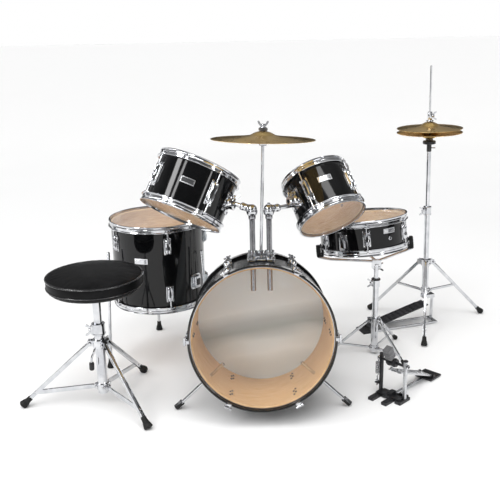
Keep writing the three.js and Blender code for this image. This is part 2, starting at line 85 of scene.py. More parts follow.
class Mat:
    def __init__(s, name, **kw):
        s.m = bpy.data.materials.new(name)
        s.m.use_nodes = True
        s.nt = s.m.node_tree
        s.p = s.nt.nodes["Principled BSDF"]
        names = {"metal": "Metallic", "rough": "Roughness", "coat": "Coat Weight", "coatr": "Coat Roughness", "spec": "Specular IOR Level", "sheen": "Sheen Weight", "sheenr": "Sheen Roughness", "alpha": "Alpha", "ior": "IOR"}
        for k, v in kw.items():
            s.p.inputs[names[k]].default_value = v
        s.tc = s.nt.nodes.new("ShaderNodeTexCoord").outputs["Object"]
        MATS[name] = s.m

    def link(s, a, b):
        s.nt.links.new(a, b)

    def scaled(s, sc, rot=(0, 0, 0)):
        n = s.nt.nodes.new("ShaderNodeMapping")
        n.inputs["Scale"].default_value = sc
        n.inputs["Rotation"].default_value = rot
        s.link(s.tc, n.inputs["Vector"])
        return n.outputs["Vector"]

    def noise(s, scale, detail=3, vec=None, rough=0.5, dist=0.0):
        n = s.nt.nodes.new("ShaderNodeTexNoise")
        n.inputs["Scale"].default_value = scale
        n.inputs["Detail"].default_value = detail
        n.inputs["Roughness"].default_value = rough
        n.inputs["Distortion"].default_value = dist
        s.link(vec or s.tc, n.inputs["Vector"])
        return n.outputs["Fac"]

    def voronoi(s, scale, vec=None, feature="F1", rand=1.0):
        n = s.nt.nodes.new("ShaderNodeTexVoronoi")
        n.feature = feature
        n.inputs["Scale"].default_value = scale
        n.inputs["Randomness"].default_value = rand
        s.link(vec or s.tc, n.inputs["Vector"])
        return n.outputs["Distance"]

    def wave(s, scale, kind="BANDS", axis="Z", dist=0.0, detail=2, vec=None, dscale=1.0):
        n = s.nt.nodes.new("ShaderNodeTexWave")
        n.wave_type = kind
        if kind == "RINGS":
            n.rings_direction = axis
        else:
            n.bands_direction = axis
        n.inputs["Scale"].default_value = scale
        n.inputs["Distortion"].default_value = dist
        n.inputs["Detail"].default_value = detail
        n.inputs["Detail Scale"].default_value = dscale
        s.link(vec or s.tc, n.inputs["Vector"])
        return n.outputs["Fac"]

    def ramp(s, src, stops, to="Base Color"):
        n = s.nt.nodes.new("ShaderNodeValToRGB")
        e = n.color_ramp.elements
        while len(e) < len(stops):
            e.new(0.5)
        for el, (pos, col) in zip(e, stops):
            el.position = pos
            el.color = (*col, 1)
        s.link(src, n.inputs["Fac"])
        if to:
            s.link(n.outputs["Color"], s.p.inputs[to])
        return n.outputs["Color"]

    def range(s, src, lo, hi, to=None, a=0.3, b=0.7):
        n = s.nt.nodes.new("ShaderNodeMapRange")
        n.inputs["From Min"].default_value = a
        n.inputs["From Max"].default_value = b
        n.inputs["To Min"].default_value = lo
        n.inputs["To Max"].default_value = hi
        s.link(src, n.inputs["Value"])
        if to:
            s.link(n.outputs["Result"], s.p.inputs[to])
        return n.outputs["Result"]

    def bump(s, src, strength, dist, prev=None):
        n = s.nt.nodes.new("ShaderNodeBump")
        n.inputs["Strength"].default_value = strength
        n.inputs["Distance"].default_value = dist
        s.link(src, n.inputs["Height"])
        if prev is not None:
            s.link(prev, n.inputs["Normal"])
        s.link(n.outputs["Normal"], s.p.inputs["Normal"])
        return n.outputs["Normal"]

    def mix(s, a, b, fac=0.5, mode="MIX"):
        n = s.nt.nodes.new("ShaderNodeMix")
        n.data_type = "RGBA"
        n.blend_type = mode
        n.inputs[0].default_value = fac
        s.link(a, n.inputs[6])
        s.link(b, n.inputs[7])
        return n.outputs[2]


m = Mat("chrome", metal=1.0)
n1 = m.noise(38, 4)
m.ramp(n1, [(0.3, (0.52, 0.53, 0.56)), (0.55, (0.66, 0.67, 0.69)), (0.75, (0.77, 0.77, 0.79))])
m.range(m.noise(160, 3), 0.05, 0.17, "Roughness")
m.bump(m.noise(70, 2), 0.10, 0.0006)

m = Mat("chrome_dark", metal=1.0)
m.ramp(m.noise(30, 3), [(0.3, (0.30, 0.30, 0.32)), (0.7, (0.46, 0.46, 0.48))])
m.range(m.noise(200, 3), 0.12, 0.26, "Roughness")
m.bump(m.noise(110, 2), 0.12, 0.0005)

m = Mat("satin", metal=1.0)
m.ramp(m.noise(60, 4, m.scaled((1, 1, 14))), [(0.3, (0.52, 0.53, 0.55)), (0.7, (0.74, 0.75, 0.77))])
m.range(m.noise(500, 2), 0.22, 0.38, "Roughness")
m.bump(m.noise(900, 2, m.scaled((1, 1, 8))), 0.15, 0.0002)

m = Mat("plate", metal=1.0)
m.ramp(m.noise(90, 3, m.scaled((1, 1, 10))), [(0.3, (0.62, 0.63, 0.65)), (0.7, (0.82, 0.83, 0.85))])
m.range(m.noise(400, 2), 0.28, 0.42, "Roughness")
m.bump(m.noise(1500, 2, m.scaled((1, 1, 9))), 0.18, 0.0002)

m = Mat("black_wrap", coat=0.38, coatr=0.02, spec=0.18)
m.ramp(m.noise(16, 4), [(0.3, (0.0018, 0.0019, 0.0022)), (0.75, (0.0050, 0.0052, 0.0058))])
m.range(m.noise(90, 3), 0.05, 0.12, "Roughness")
m.bump(m.noise(22, 2), 0.08, 0.002)

m = Mat("black_wrap_soft", spec=0.14)
m.ramp(m.noise(16, 4), [(0.3, (0.0018, 0.0019, 0.0022)), (0.75, (0.0050, 0.0052, 0.0058))])
m.range(m.noise(90, 3), 0.16, 0.24, "Roughness")
m.bump(m.noise(22, 2), 0.06, 0.002)

m = Mat("black_lacquer", coat=0.5, coatr=0.04, spec=0.3)
m.ramp(m.noise(60, 4), [(0.3, (0.0025, 0.0025, 0.003)), (0.8, (0.008, 0.008, 0.009))])
m.range(m.noise(120, 3), 0.10, 0.22, "Roughness")
m.bump(m.noise(160, 3), 0.07, 0.0006)

m = Mat("wood", spec=0.35)
g = m.noise(7, 5, m.scaled((3, 3, 26)), 0.62, 0.4)
f = m.noise(60, 4, m.scaled((1, 1, 16)), 0.6)
c1 = m.ramp(g, [(0.25, (0.60, 0.345, 0.135)), (0.5, (0.76, 0.50, 0.245)), (0.78, (0.88, 0.655, 0.39))], None)
c2 = m.ramp(f, [(0.3, (0.80, 0.72, 0.62)), (0.7, (1, 1, 1))], None)
m.link(m.mix(c1, c2, 0.7, "MULTIPLY"), m.p.inputs["Base Color"])
m.range(f, 0.36, 0.58, "Roughness")
m.bump(f, 0.25, 0.0005)

m = Mat("wood_edge", spec=0.3)
w = m.wave(420, "BANDS", "Z", 2.0)
m.ramp(w, [(0.2, (0.42, 0.26, 0.14)), (0.8, (0.72, 0.52, 0.33))])
m.range(m.noise(300), 0.45, 0.65, "Roughness")
m.bump(m.noise(600), 0.3, 0.0003)

m = Mat("clear_film", spec=0.6, coat=0.3, coatr=0.05)
m.ramp(m.noise(12, 3), [(0.3, (0.86, 0.87, 0.88)), (0.7, (0.95, 0.955, 0.96))])
m.range(m.noise(30, 3), 0.06, 0.16, "Roughness")
lw = m.nt.nodes.new("ShaderNodeLayerWeight")
lw.inputs["Blend"].default_value = 0.28
m.range(lw.outputs["Facing"], 0.03, 0.30, "Alpha", 0.0, 1.0)
m.bump(m.noise(14, 2), 0.06, 0.002)

# silver batter head: its own silver-grey tone, with painted reflection bands, lighter and darker, laid across it by
# height (object Y), slanted in X and wobbled by noise
m = Mat("grey_film", metal=0.25, spec=0.5, coat=0.3, coatr=0.3)
band_wobble = m.noise(3.4, 2, m.scaled((0.6, 1.6, 1)))
sp = m.nt.nodes.new("ShaderNodeSeparateXYZ")
m.link(m.tc, sp.inputs[0])
wob = m.nt.nodes.new("ShaderNodeMath")
wob.operation = "MULTIPLY_ADD"
wob.inputs[1].default_value = 0.16
m.link(band_wobble, wob.inputs[0])
m.link(sp.outputs["Y"], wob.inputs[2])
slant = m.nt.nodes.new("ShaderNodeMath")
slant.operation = "MULTIPLY_ADD"
slant.inputs[1].default_value = -0.12
m.link(sp.outputs["X"], slant.inputs[0])
m.link(wob.outputs[0], slant.inputs[2])
pos = m.range(slant.outputs[0], 0.0, 1.0, None, -0.12, 0.28)
# painted reflection: these stops put the light and dark bands over the grey
m.ramp(pos, [(0.0, (0.60, 0.65, 0.66)), (0.16, (0.84, 0.90, 0.92)), (0.27, (0.74, 0.80, 0.81)), (0.37, (0.40, 0.45, 0.45)), (0.47, (0.50, 0.55, 0.56)), (0.62, (0.86, 0.93, 0.96)), (0.80, (0.78, 0.85, 0.88)), (1.0, (0.66, 0.72, 0.75))])
m.range(m.noise(20, 3), 0.30, 0.44, "Roughness")
m.bump(m.noise(90, 3), 0.03, 0.0004)

m = Mat("bronze", metal=1.0)
gr = m.wave(95, "RINGS", "Z", 0.35, 2)
gf = m.wave(330, "RINGS", "Z", 0.6, 2)
base = m.ramp(m.noise(9, 3), [(0.28, (0.74, 0.49, 0.18)), (0.5, (0.86, 0.60, 0.24)), (0.75, (0.94, 0.69, 0.31))], None)
lines = m.ramp(gf, [(0.1, (0.84, 0.82, 0.78)), (0.6, (1, 1, 1))], None)
m.link(m.mix(base, lines, 0.6, "MULTIPLY"), m.p.inputs["Base Color"])
m.range(m.noise(40, 3), 0.26, 0.33, "Roughness")
m.p.inputs["Anisotropic"].default_value = 0.7
m.p.inputs["Anisotropic Rotation"].default_value = 0.25
tg = m.nt.nodes.new("ShaderNodeTangent")
tg.direction_type = "RADIAL"
tg.axis = "Z"
m.link(tg.outputs[0], m.p.inputs["Tangent"])
b1 = m.bump(gr, 0.10, 0.0005)
b2 = m.bump(gf, 0.08, 0.0002, b1)
m.bump(m.voronoi(30), 0.02, 0.0008, b2)

m = Mat("vinyl", spec=0.13)
m.ramp(m.noise(26, 4), [(0.3, (0.0026, 0.0026, 0.003)), (0.75, (0.0075, 0.0075, 0.008))])
gv = m.voronoi(620)
m.range(gv, 0.34, 0.50, "Roughness", 0.0, 0.7)
b1 = m.bump(gv, 0.35, 0.0004)
m.bump(m.noise(34, 3), 0.10, 0.003, b1)

m = Mat("piping", spec=0.7, coat=0.5, coatr=0.18)
m.ramp(m.noise(30, 3), [(0.3, (0.010, 0.010, 0.011)), (0.75, (0.024, 0.024, 0.026))])
m.range(m.noise(120, 3), 0.18, 0.32, "Roughness")
m.bump(m.noise(160, 2), 0.12, 0.0004)

m = Mat("rubber", spec=0.3)
m.ramp(m.noise(90, 4), [(0.3, (0.008, 0.008, 0.008)), (0.75, (0.024, 0.024, 0.024))])
m.range(m.noise(200), 0.62, 0.85, "Roughness")
m.bump(m.noise(900, 3), 0.30, 0.0003)

m = Mat("black_plastic", spec=0.5)
m.ramp(m.noise(60, 3), [(0.3, (0.007, 0.007, 0.008)), (0.75, (0.018, 0.018, 0.019))])
m.range(m.noise(240), 0.24, 0.42, "Roughness")
m.bump(m.noise(1400, 2), 0.14, 0.0002)

m = Mat("felt", spec=0.1, sheen=0.6, sheenr=0.6)
m.ramp(m.noise(420, 5), [(0.3, (0.010, 0.010, 0.011)), (0.75, (0.045, 0.045, 0.047))])
m.range(m.noise(600), 0.88, 1.0, "Roughness")
m.bump(m.noise(1300, 5), 0.7, 0.0006)

m = Mat("beater_felt", spec=0.1, sheen=0.5, sheenr=0.6)
m.ramp(m.noise(420, 5), [(0.3, (0.055, 0.055, 0.058)), (0.75, (0.13, 0.13, 0.135))])
m.range(m.noise(600), 0.85, 1.0, "Roughness")
m.bump(m.noise(1300, 5), 0.7, 0.0006)

m = Mat("dark_casting", metal=0.55, spec=0.4)
m.ramp(m.noise(70, 4), [(0.3, (0.018, 0.018, 0.020)), (0.75, (0.055, 0.055, 0.060))])
m.range(m.noise(180), 0.26, 0.46, "Roughness")
m.bump(m.noise(520, 3), 0.25, 0.0004)

m = Mat("diamond", metal=0.7, spec=0.4)
dv = m.voronoi(190, m.scaled((1, 1, 1), (0, 0, 45 * D)), rand=0.0)
m.ramp(dv, [(0.15, (0.11, 0.11, 0.12)), (0.6, (0.02, 0.02, 0.022))])
m.range(m.noise(300), 0.26, 0.42, "Roughness")
m.bump(dv, 0.8, 0.0012)

m = Mat("wire", metal=1.0)
m.ramp(m.noise(300), [(0.3, (0.55, 0.55, 0.57)), (0.7, (0.80, 0.80, 0.82))])
m.range(m.noise(500), 0.15, 0.3, "Roughness")
m.bump(m.wave(900, "BANDS", "X"), 0.6, 0.0006)

m = Mat("floor", spec=0.25)
near = m.ramp(m.noise(0.8, 2), [(0.3, (0.86, 0.86, 0.86)), (0.7, (0.90, 0.90, 0.90))], None)
# painted light: the floor's colour is darker near the kit (0.89) and paler far off (0.999), making up for lamp light
# that falls off with distance
far = m.nt.nodes.new("ShaderNodeTexGradient")
far.gradient_type = "SPHERICAL"
m.link(m.scaled((0.16, 0.16, 0.16)), far.inputs["Vector"])
pale = m.ramp(far.outputs["Fac"], [(0.15, (0.999, 0.999, 0.999)), (0.65, (0.89, 0.89, 0.89))], None)
m.link(m.mix(near, pale, 0.93), m.p.inputs["Base Color"])
m.range(m.noise(2.0), 0.62, 0.72, "Roughness")

# ---------------------------------------------------------------- unit frames (mm)
UNITS = {
    "row": ((0, 0, 0), (1, 0, 0), (0, 1, 0), (0, 0, 1)),
    "bass": ((-70.64485, -428.09992, 256.7), (1, 0, 0), (0, 0.15988, 0.98714), (0, -0.98714, 0.15988)),
    "ltom": ((-274.04485, -152.29992, 623.1), (0.89526, -0.37139, -0.24611), (0.21924, 0.84811, -0.48234), (0.38786, 0.37787, 0.8407)),
    "larm": ((-92.04485, -223.7513, 580.18979), (-0.89818, 0.36852, 0.23972), (-0.36852, -0.33378, -0.86763), (-0.23972, -0.86763, 0.4356)),
    "rtom": ((125.65515, -117.79992, 588.7), (-0.87718, -0.47966, 0.02205), (0.36407, -0.63445, 0.68185), (-0.31307, 0.60613, 0.73116)),
    "rarm": ((-43.04485, -223.7513, 580.18979), (0.86796, 0.49664, -0.00133), (-0.49664, 0.86796, 0.00035), (0.00133, 0.00035, 1)),
    "crash": ((-56.84485, -222.59992, 783), (0.9995, -0.00201, -0.03153), (0, 0.99798, -0.06354), (0.0316, 0.0635, 0.99748)),
    "floor": ((-409.04485, 84.90008, 346), (1, 0, 0), (0, 1, 0), (0, 0, 1)),
    "snare": ((279.35515, 71.20008, 426), (0.99638, 0.00879, 0.08455), (0, 0.99464, -0.10338), (-0.085, 0.103, 0.99104)),
    "sstand": ((320.95515, 34.90008, 0), (1, 0, 0), (0, 1, 0), (0, 0, 1)),
    "hhfloor": ((556.95515, 307.90008, 0), (1, 0, 0), (0, 1, 0), (0, 0, 1)),
    "hh": ((556.95515, 307.90008, 0), (0.99983, 0, 0.01867), (0, 1, 0), (-0.01867, 0, 0.99983)),
    "throne": ((-553.04485, -288.09992, 0), (1, 0, 0), (0, 1, 0), (0, 0, 1)),
    "pedal": ((323.95515, -290.09992, 0), (0.71934, 0.69466, 0), (-0.69466, 0.71934, 0), (0, 0, 1)),
}


def umat(u):
    p, x, y, z = UNITS[u]
    return Matrix(((x[0], y[0], z[0], p[0] * MM), (x[1], y[1], z[1], p[1] * MM), (x[2], y[2], z[2], p[2] * MM), (0, 0, 0, 1)))


def upoint(u, q):
    return umat(u) @ (Vector(q) * MM)


def look(p, d, side=(0, 0, 1)):
    """A frame at p with Z along d and X as near side as it can be."""
    z = Vector(d).normalized()
    s = Vector(side)
    x = s - z * s.dot(z)
    if x.length < 1e-4:
        s = Vector((1, 0, 0)) if abs(z.x) < 0.9 else Vector((0, 1, 0))
        x = s - z * s.dot(z)
    x.normalize()
    y = z.cross(x)
    p = Vector(p)
    return Matrix(((x.x, y.x, z.x, p.x), (x.y, y.y, z.y, p.y), (x.z, y.z, z.z, p.z), (0, 0, 0, 1)))


def polar(az, r, z):
    return Vector((r * math.cos(az * D), r * math.sin(az * D), z))


def at_az(az, r, z):
    """A frame on the drum's side: X outward, Y round, Z along the drum."""
    c, s = math.cos(az * D), math.sin(az * D)
    return Matrix(((c, -s, 0, r * c), (s, c, 0, r * s), (0, 0, 1, z), (0, 0, 0, 1)))


class B:
    """Gathers geometry in a unit's own frame, in mm, then makes one object of it."""

    def __init__(s, T=None):
        s.v, s.f, s.m = [], [], []
        s.T = T or Matrix.Identity(4)

    def add(s, verts, faces, mat, T=None):
        T = s.T if T is None else s.T @ T
        o = len(s.v)
        s.v += [tuple(T @ Vector(p)) for p in verts]
        for f in faces:
            s.f.append([o + i for i in f])
            s.m.append(mat if isinstance(mat, str) else mat(f))

    def lathe(s, prof, mat, n=64, T=None, mats=None, arc=None):
        """prof is a closed loop of (r, z); mats gives a material for each edge of it."""
        k = len(prof)
        a0, a1 = arc or (0, 360)
        full = arc is None
        rings = n if full else n + 1
        verts, faces, fm = [], [], []
        idx = []
        pole = {}
        for j in range(k):
            if abs(prof[j][0]) < 1e-9:
                pole[j] = len(verts)
                verts.append((0, 0, prof[j][1]))
        for i in range(rings):
            a = (a0 + (a1 - a0) * i / n) * D
            c, sn = math.cos(a), math.sin(a)
            row = []
            for j in range(k):
                if j in pole:
                    row.append(pole[j])
                else:
                    row.append(len(verts))
                    verts.append((prof[j][0] * c, prof[j][0] * sn, prof[j][1]))
            idx.append(row)
        for i in range(n):
            r0, r1 = idx[i], idx[(i + 1) % rings if full else i + 1]
            for j in range(k):
                j2 = (j + 1) % k
                q = [r0[j], r1[j], r1[j2], r0[j2]]
                q = [x for t, x in enumerate(q) if x not in q[:t]]
                if len(q) >= 3:
                    faces.append(q)
                    fm.append(mats[j] if mats else mat)
        if not full:
            faces.append(list(idx[0]))
            fm.append(mat)
            faces.append(list(reversed(idx[-1])))
            fm.append(mat)
        T = s.T if T is None else s.T @ T
        o = len(s.v)
        s.v += [tuple(T @ Vector(p)) for p in verts]
        for f, mm in zip(faces, fm):
            s.f.append([o + i for i in f])
            s.m.append(mm)

    def cyl(s, a, b, r, mat, n=20, c=0.6, r2=None):
        """A chamfered rod from a to b."""
        a, b = Vector(a), Vector(b)
        L = (b - a).length
        r2 = r if r2 is None else r2
        c = min(c, L / 3, r / 2, r2 / 2)
        s.lathe([(0, 0), (r - c, 0), (r, c), (r2, L - c), (r2 - c, L), (0, L)], mat, n, look(a, b - a))

    def box(s, size, bev, mat, T=None, seg=2, at=(0, 0, 0)):
        bm = bmesh.new()
        bmesh.ops.create_cube(bm, size=1)
        for v in bm.verts:
            v.co = Vector((v.co.x * size[0], v.co.y * size[1], v.co.z * size[2])) + Vector(at)
        if bev:
            bmesh.ops.bevel(bm, geom=list(bm.edges), offset=min(bev, min(size) * 0.45), segments=seg, affect="EDGES", profile=0.5)
        bm.verts.ensure_lookup_table()
        s.add([v.co[:] for v in bm.verts], [[v.index for v in f.verts] for f in bm.faces], mat, T)
        bm.free()

    def prism(s, pts, z0, z1, bev, mat, T=None):
        cx = sum(p[0] for p in pts) / len(pts)
        cy = sum(p[1] for p in pts) / len(pts)
        big = max(math.hypot(p[0] - cx, p[1] - cy) for p in pts)
        k = 1 - bev / big
        ins = [(cx + (p[0] - cx) * k, cy + (p[1] - cy) * k) for p in pts]
        n = len(pts)
        rows = [(ins, z0), (pts, z0 + bev), (pts, z1 - bev), (ins, z1)]
        verts = [(x, y, z) for r, z in rows for x, y in r]
        faces = [list(range(n))[::-1], list(range(3 * n, 4 * n))]
        for k2 in range(3):
            for i in range(n):
                j = (i + 1) % n
                faces.append([k2 * n + i, k2 * n + j, (k2 + 1) * n + j, (k2 + 1) * n + i])
        s.add(verts, faces, mat, T)

    def tube(s, pts, r, mat, n=14, T=None, flat=None):
        """A rod swept along points. r is a number or a list; flat scales its second direction."""
        pts = [Vector(p) for p in pts]
        k = len(pts)
        rs = [r] * k if not isinstance(r, (list, tuple)) else list(r)
        t = [(pts[min(i + 1, k - 1)] - pts[max(i - 1, 0)]).normalized() for i in range(k)]
        ref = Vector((0, 0, 1)) if abs(t[0].z) < 0.9 else Vector((1, 0, 0))
        u = (ref - t[0] * ref.dot(t[0])).normalized()
        rows = []
        for i in range(k):
            u = (u - t[i] * u.dot(t[i])).normalized()
            w = t[i].cross(u)
            rows.append((pts[i], u.copy(), w, rs[i]))
        c0, c1 = min(rs[0] * 0.35, 0.8), min(rs[-1] * 0.35, 0.8)
        a, b = rows[0], rows[-1]
        rows[0] = (a[0] + t[0] * c0, a[1], a[2], a[3])
        rows[-1] = (b[0] - t[-1] * c1, b[1], b[2], b[3])
        rows = [(a[0], a[1], a[2], a[3] - c0)] + rows + [(b[0], b[1], b[2], b[3] - c1)]
        f2 = flat or 1
        verts = [tuple(p + (uu * math.cos(2 * math.pi * i / n) + ww * f2 * math.sin(2 * math.pi * i / n)) * rr) for p, uu, ww, rr in rows for i in range(n)]
        K = len(rows)
        faces = [list(range(n))[::-1], list(range((K - 1) * n, K * n))]
        for j in range(K - 1):
            for i in range(n):
                i2 = (i + 1) % n
                faces.append([j * n + i, j * n + i2, (j + 1) * n + i2, (j + 1) * n + i])
        s.add(verts, faces, mat, T)

    def ball(s, c, r, mat, n=28, sz=1.0):
        k = 14
        s.lathe([(r * math.sin(math.pi * i / k) if 0 < i < k else 0, -r * sz * math.cos(math.pi * i / k)) for i in range(k + 1)], mat, n, Matrix.Translation(Vector(c)))

    def build(s, name, unit, body, replaces=(), angle=34):
        used = []
        for mm in s.m:
            if mm not in used:
                used.append(mm)
        me = bpy.data.meshes.new(name)
        me.from_pydata([(x * MM, y * MM, z * MM) for x, y, z in s.v], [], s.f)
        for mm in used:
            me.materials.append(MATS[mm])
        me.polygons.foreach_set("material_index", [used.index(mm) for mm in s.m])
        bm = bmesh.new()
        bm.from_mesh(me)
        bmesh.ops.dissolve_degenerate(bm, dist=1e-7, edges=bm.edges)
        bmesh.ops.recalc_face_normals(bm, faces=bm.faces)
        bm.to_mesh(me)
        bm.free()
        me.shade_smooth()
        me.set_sharp_from_angle(angle=angle * D)
        ob = bpy.data.objects.new(name, me)
        scene.collection.objects.link(ob)
        ob.matrix_world = umat(unit)
        if body:
            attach(ob, body)
        if replaces:
            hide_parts(*replaces)
        return ob


# ---------------------------------------------------------------- small hardware
def wing(b, T, mat="chrome", s=1.0, stem=0):
    """A wing nut or wing screw whose axis is T's Z."""
    S = T @ Matrix.Scale(s, 4)
    b.lathe([(0, -0.5), (5.6, -0.5), (6.0, 0.4), (5.2, 5.5), (4.2, 8.2), (3.6, 8.8), (0, 8.8)], mat, 20, S)
    ear = [(2.5, 0.6), (6.5, 0.6), (10.5, 4.2), (15.2, 10.5), (16.6, 14.6), (15.0, 17.4), (11.6, 16.4), (8.0, 10.4), (5.0, 7.2), (2.5, 6.4)]
    for sg in (1, -1):
        V = Matrix(((sg, 0, 0, 0), (0, 0, 1, 0), (0, 1, 0, 0), (0, 0, 0, 1)))
        b.prism(ear, -1.5, 1.5, 0.6, mat, S @ V)
    if stem:
        b.lathe([(0, -stem), (2.6, -stem), (3.0, -stem + 0.5), (3.0, 0), (0, 0)], mat, 14, S)


def keyrod(b, T, length, mat="chrome"):
    """A tension rod: square head and washer at the top of T's Z, thread down to -length."""
    b.lathe([(0, 0), (5.0, 0), (5.4, 0.5), (5.4, 1.2), (4.6, 1.9), (0, 1.9)], mat, 18, T)
    b.box((5.6, 5.6, 7.4), 0.6, mat, T, at=(0, 0, 5.2))
    b.lathe([(0, -length), (2.2, -length), (2.5, -length + 0.4), (2.5, 0), (0, 0)], mat, 12, T)


def lug(b, T, L, W, H, mat="chrome", n=13):
    """A cast lug. T's X points out of the shell, Z along the drum."""
    sec = [(-0.5, 0.0), (-0.5, 0.34), (-0.44, 0.70), (-0.33, 0.94), (-0.22, 1.0), (-0.13, 0.86), (-0.05, 0.72), (0.05, 0.72), (0.13, 0.86), (0.22, 1.0), (0.33, 0.94), (0.44, 0.70), (0.5, 0.34), (0.5, 0.0)]
    k = len(sec)
    verts, faces = [], []
    for i in range(n):
        t = -1 + 2 * i / (n - 1)
        e = abs(t)
        w = W * (1 - 0.34 * max(0, (e - 0.55) / 0.45) ** 1.6)
        h = H * (0.30 + 0.70 * math.sqrt(max(0, 1 - e ** 5)) - 0.16 * math.exp(-(t / 0.22) ** 2))
        for y, x in sec:
            verts.append((x * h, y * w, t * L / 2))
    for i in range(n - 1):
        for j in range(k):
            j2 = (j + 1) % k
            faces.append([i * k + j, i * k + j2, (i + 1) * k + j2, (i + 1) * k + j])
    faces.append(list(range(k)))
    faces.append([(n - 1) * k + j for j in range(k)][::-1])
    b.add(verts, faces, mat, T)
    b.box((2.2, W * 1.16, L * 1.03), 0.8, mat, T, at=(0.7, 0, 0))


def hoop_profile(Rr, hoopR, h):
    return [(Rr + 1.3, h - 20.9), (Rr + 3.4, h - 22), (hoopR - 0.7, h - 22), (hoopR, h - 21.3), (hoopR, h - 20.3), (hoopR - 0.7, h - 19.6), (Rr + 4.9, h - 19.3), (Rr + 3.9, h - 18.2), (Rr + 3.7, h - 11.5), (Rr + 4.3, h - 10.6), (Rr + 4.3, h - 9.4), (Rr + 3.7, h - 8.5), (Rr + 3.7, h - 4.2), (Rr + 4.2, h - 2.9), (Rr + 5.6, h - 2.2), (Rr + 6.1, h - 1.2), (Rr + 5.5, h - 0.3), (Rr + 3.4, h), (Rr + 1.7, h - 0.7), (Rr + 1.3, h - 2.4)]


def head_profile(Rr, h, t=0.45):
    return [(0, h - 5.9), (Rr - 9, h - 5.9), (Rr - 5, h - 6.3), (Rr - 1.6, h - 7.4), (Rr + 0.6, h - 9.2), (Rr + 0.9, h - 9.4), (Rr + 0.9, h - 10.2), (Rr + 0.4, h - 10.1), (Rr - 1.9, h - 8.0), (Rr - 5, h - 6.3 - t - 0.1), (Rr - 9, h - 5.9 - t), (0, h - 5.9 - t)]


def arcplate(b, Rr, az, w, z0, z1, t, mat, n=8, bev=0.5):
    half = w / Rr / D / 2
    b.lathe([(Rr, z0), (Rr + t - bev, z0), (Rr + t, z0 + bev), (Rr + t, z1 - bev), (Rr + t - bev, z1), (Rr, z1)], mat, n, None, None, (az - half, az + half))


def shell(unit, body, name, Rr, H, replaces, wall=6, bottom_open=True, seg=128):
    h = H / 2
    b = B()
    o = [(Rr, -h + 9.5), (Rr, h - 9.5), (Rr - 1.3, h - 8.2), (Rr - 3.2, h - 8.0), (Rr - wall, h - 10.6), (Rr - wall, -h + 10.6), (Rr - 3.2, -h + 8.0), (Rr - 1.3, -h + 8.2)]
    ms = ["black_wrap", "wood_edge", "wood_edge", "wood", "wood", "wood", "wood_edge", "wood_edge"]
    b.lathe(o, "black_wrap", seg, None, ms)
    return b.build(name, unit, body, replaces)


def hoops(unit, body, prefix, Rr, hoopR, H, azs, rep_top, rep_bottom, rod_len, wires=False, seg=128):
    h = H / 2
    for sg, nm, rep in ((1, "top", rep_top), (-1, "bottom", rep_bottom)):
        S = Matrix.Identity(4) if sg > 0 else Matrix.Diagonal((1, 1, -1, 1))
        b = B()
        b.lathe(hoop_profile(Rr, hoopR, h), "chrome", seg, S)
        for az in azs:
            ear = [(-4, -13), (2.4, -12), (6.4, -7), (7.6, 0), (6.4, 7), (2.4, 12), (-4, 13)]
            b.prism(ear, h - 22.2, h - 19.2, 0.5, "chrome", S @ at_az(az, hoopR - 2.5, 0))
        b.build(prefix + "_" + nm + "_hoop_rolled", unit, body, rep)
    b = B()
    for az in azs:
        for sg in (1, -1):
            S = Matrix.Identity(4) if sg > 0 else Matrix.Diagonal((1, 1, -1, 1))
            keyrod(b, S @ at_az(az, hoopR - 1.0, h - 19.2), rod_len)
    b.build(prefix + "_tension_rods", unit, body)


def badge(b, Rr, az, z, w, hh, round_=False):
    arcplate(b, Rr - 0.2, az, w, z - hh / 2, z + hh / 2, 1.5, "plate")
    arcplate(b, Rr + 0.9, az, w - 5, z - hh / 2 + 2.2, z + hh / 2 - 2.2, 0.9, "chrome", 8, 0.3)
    for d in (-1, 1):
        T = at_az(az + d * (w / 2 - 2.2) / Rr / D, Rr + 1.2, z) @ Matrix.Rotation(90 * D, 4, "Y")
        b.ball(tuple(T @ Vector((0, 0, 0))), 1.1, "chrome", 12)


def vent(b, Rr, az, z):
    T = at_az(az, Rr - 0.4, z) @ Matrix.Rotation(90 * D, 4, "Y")
    b.lathe([(3.0, 0), (6.0, 0), (6.4, 0.8), (5.4, 1.9), (4.0, 2.0), (3.0, 1.2)], "chrome", 24, T)
    b.lathe([(0, 0), (3.2, 0), (3.2, 0.7), (0, 0.7)], "black_plastic", 16, T)


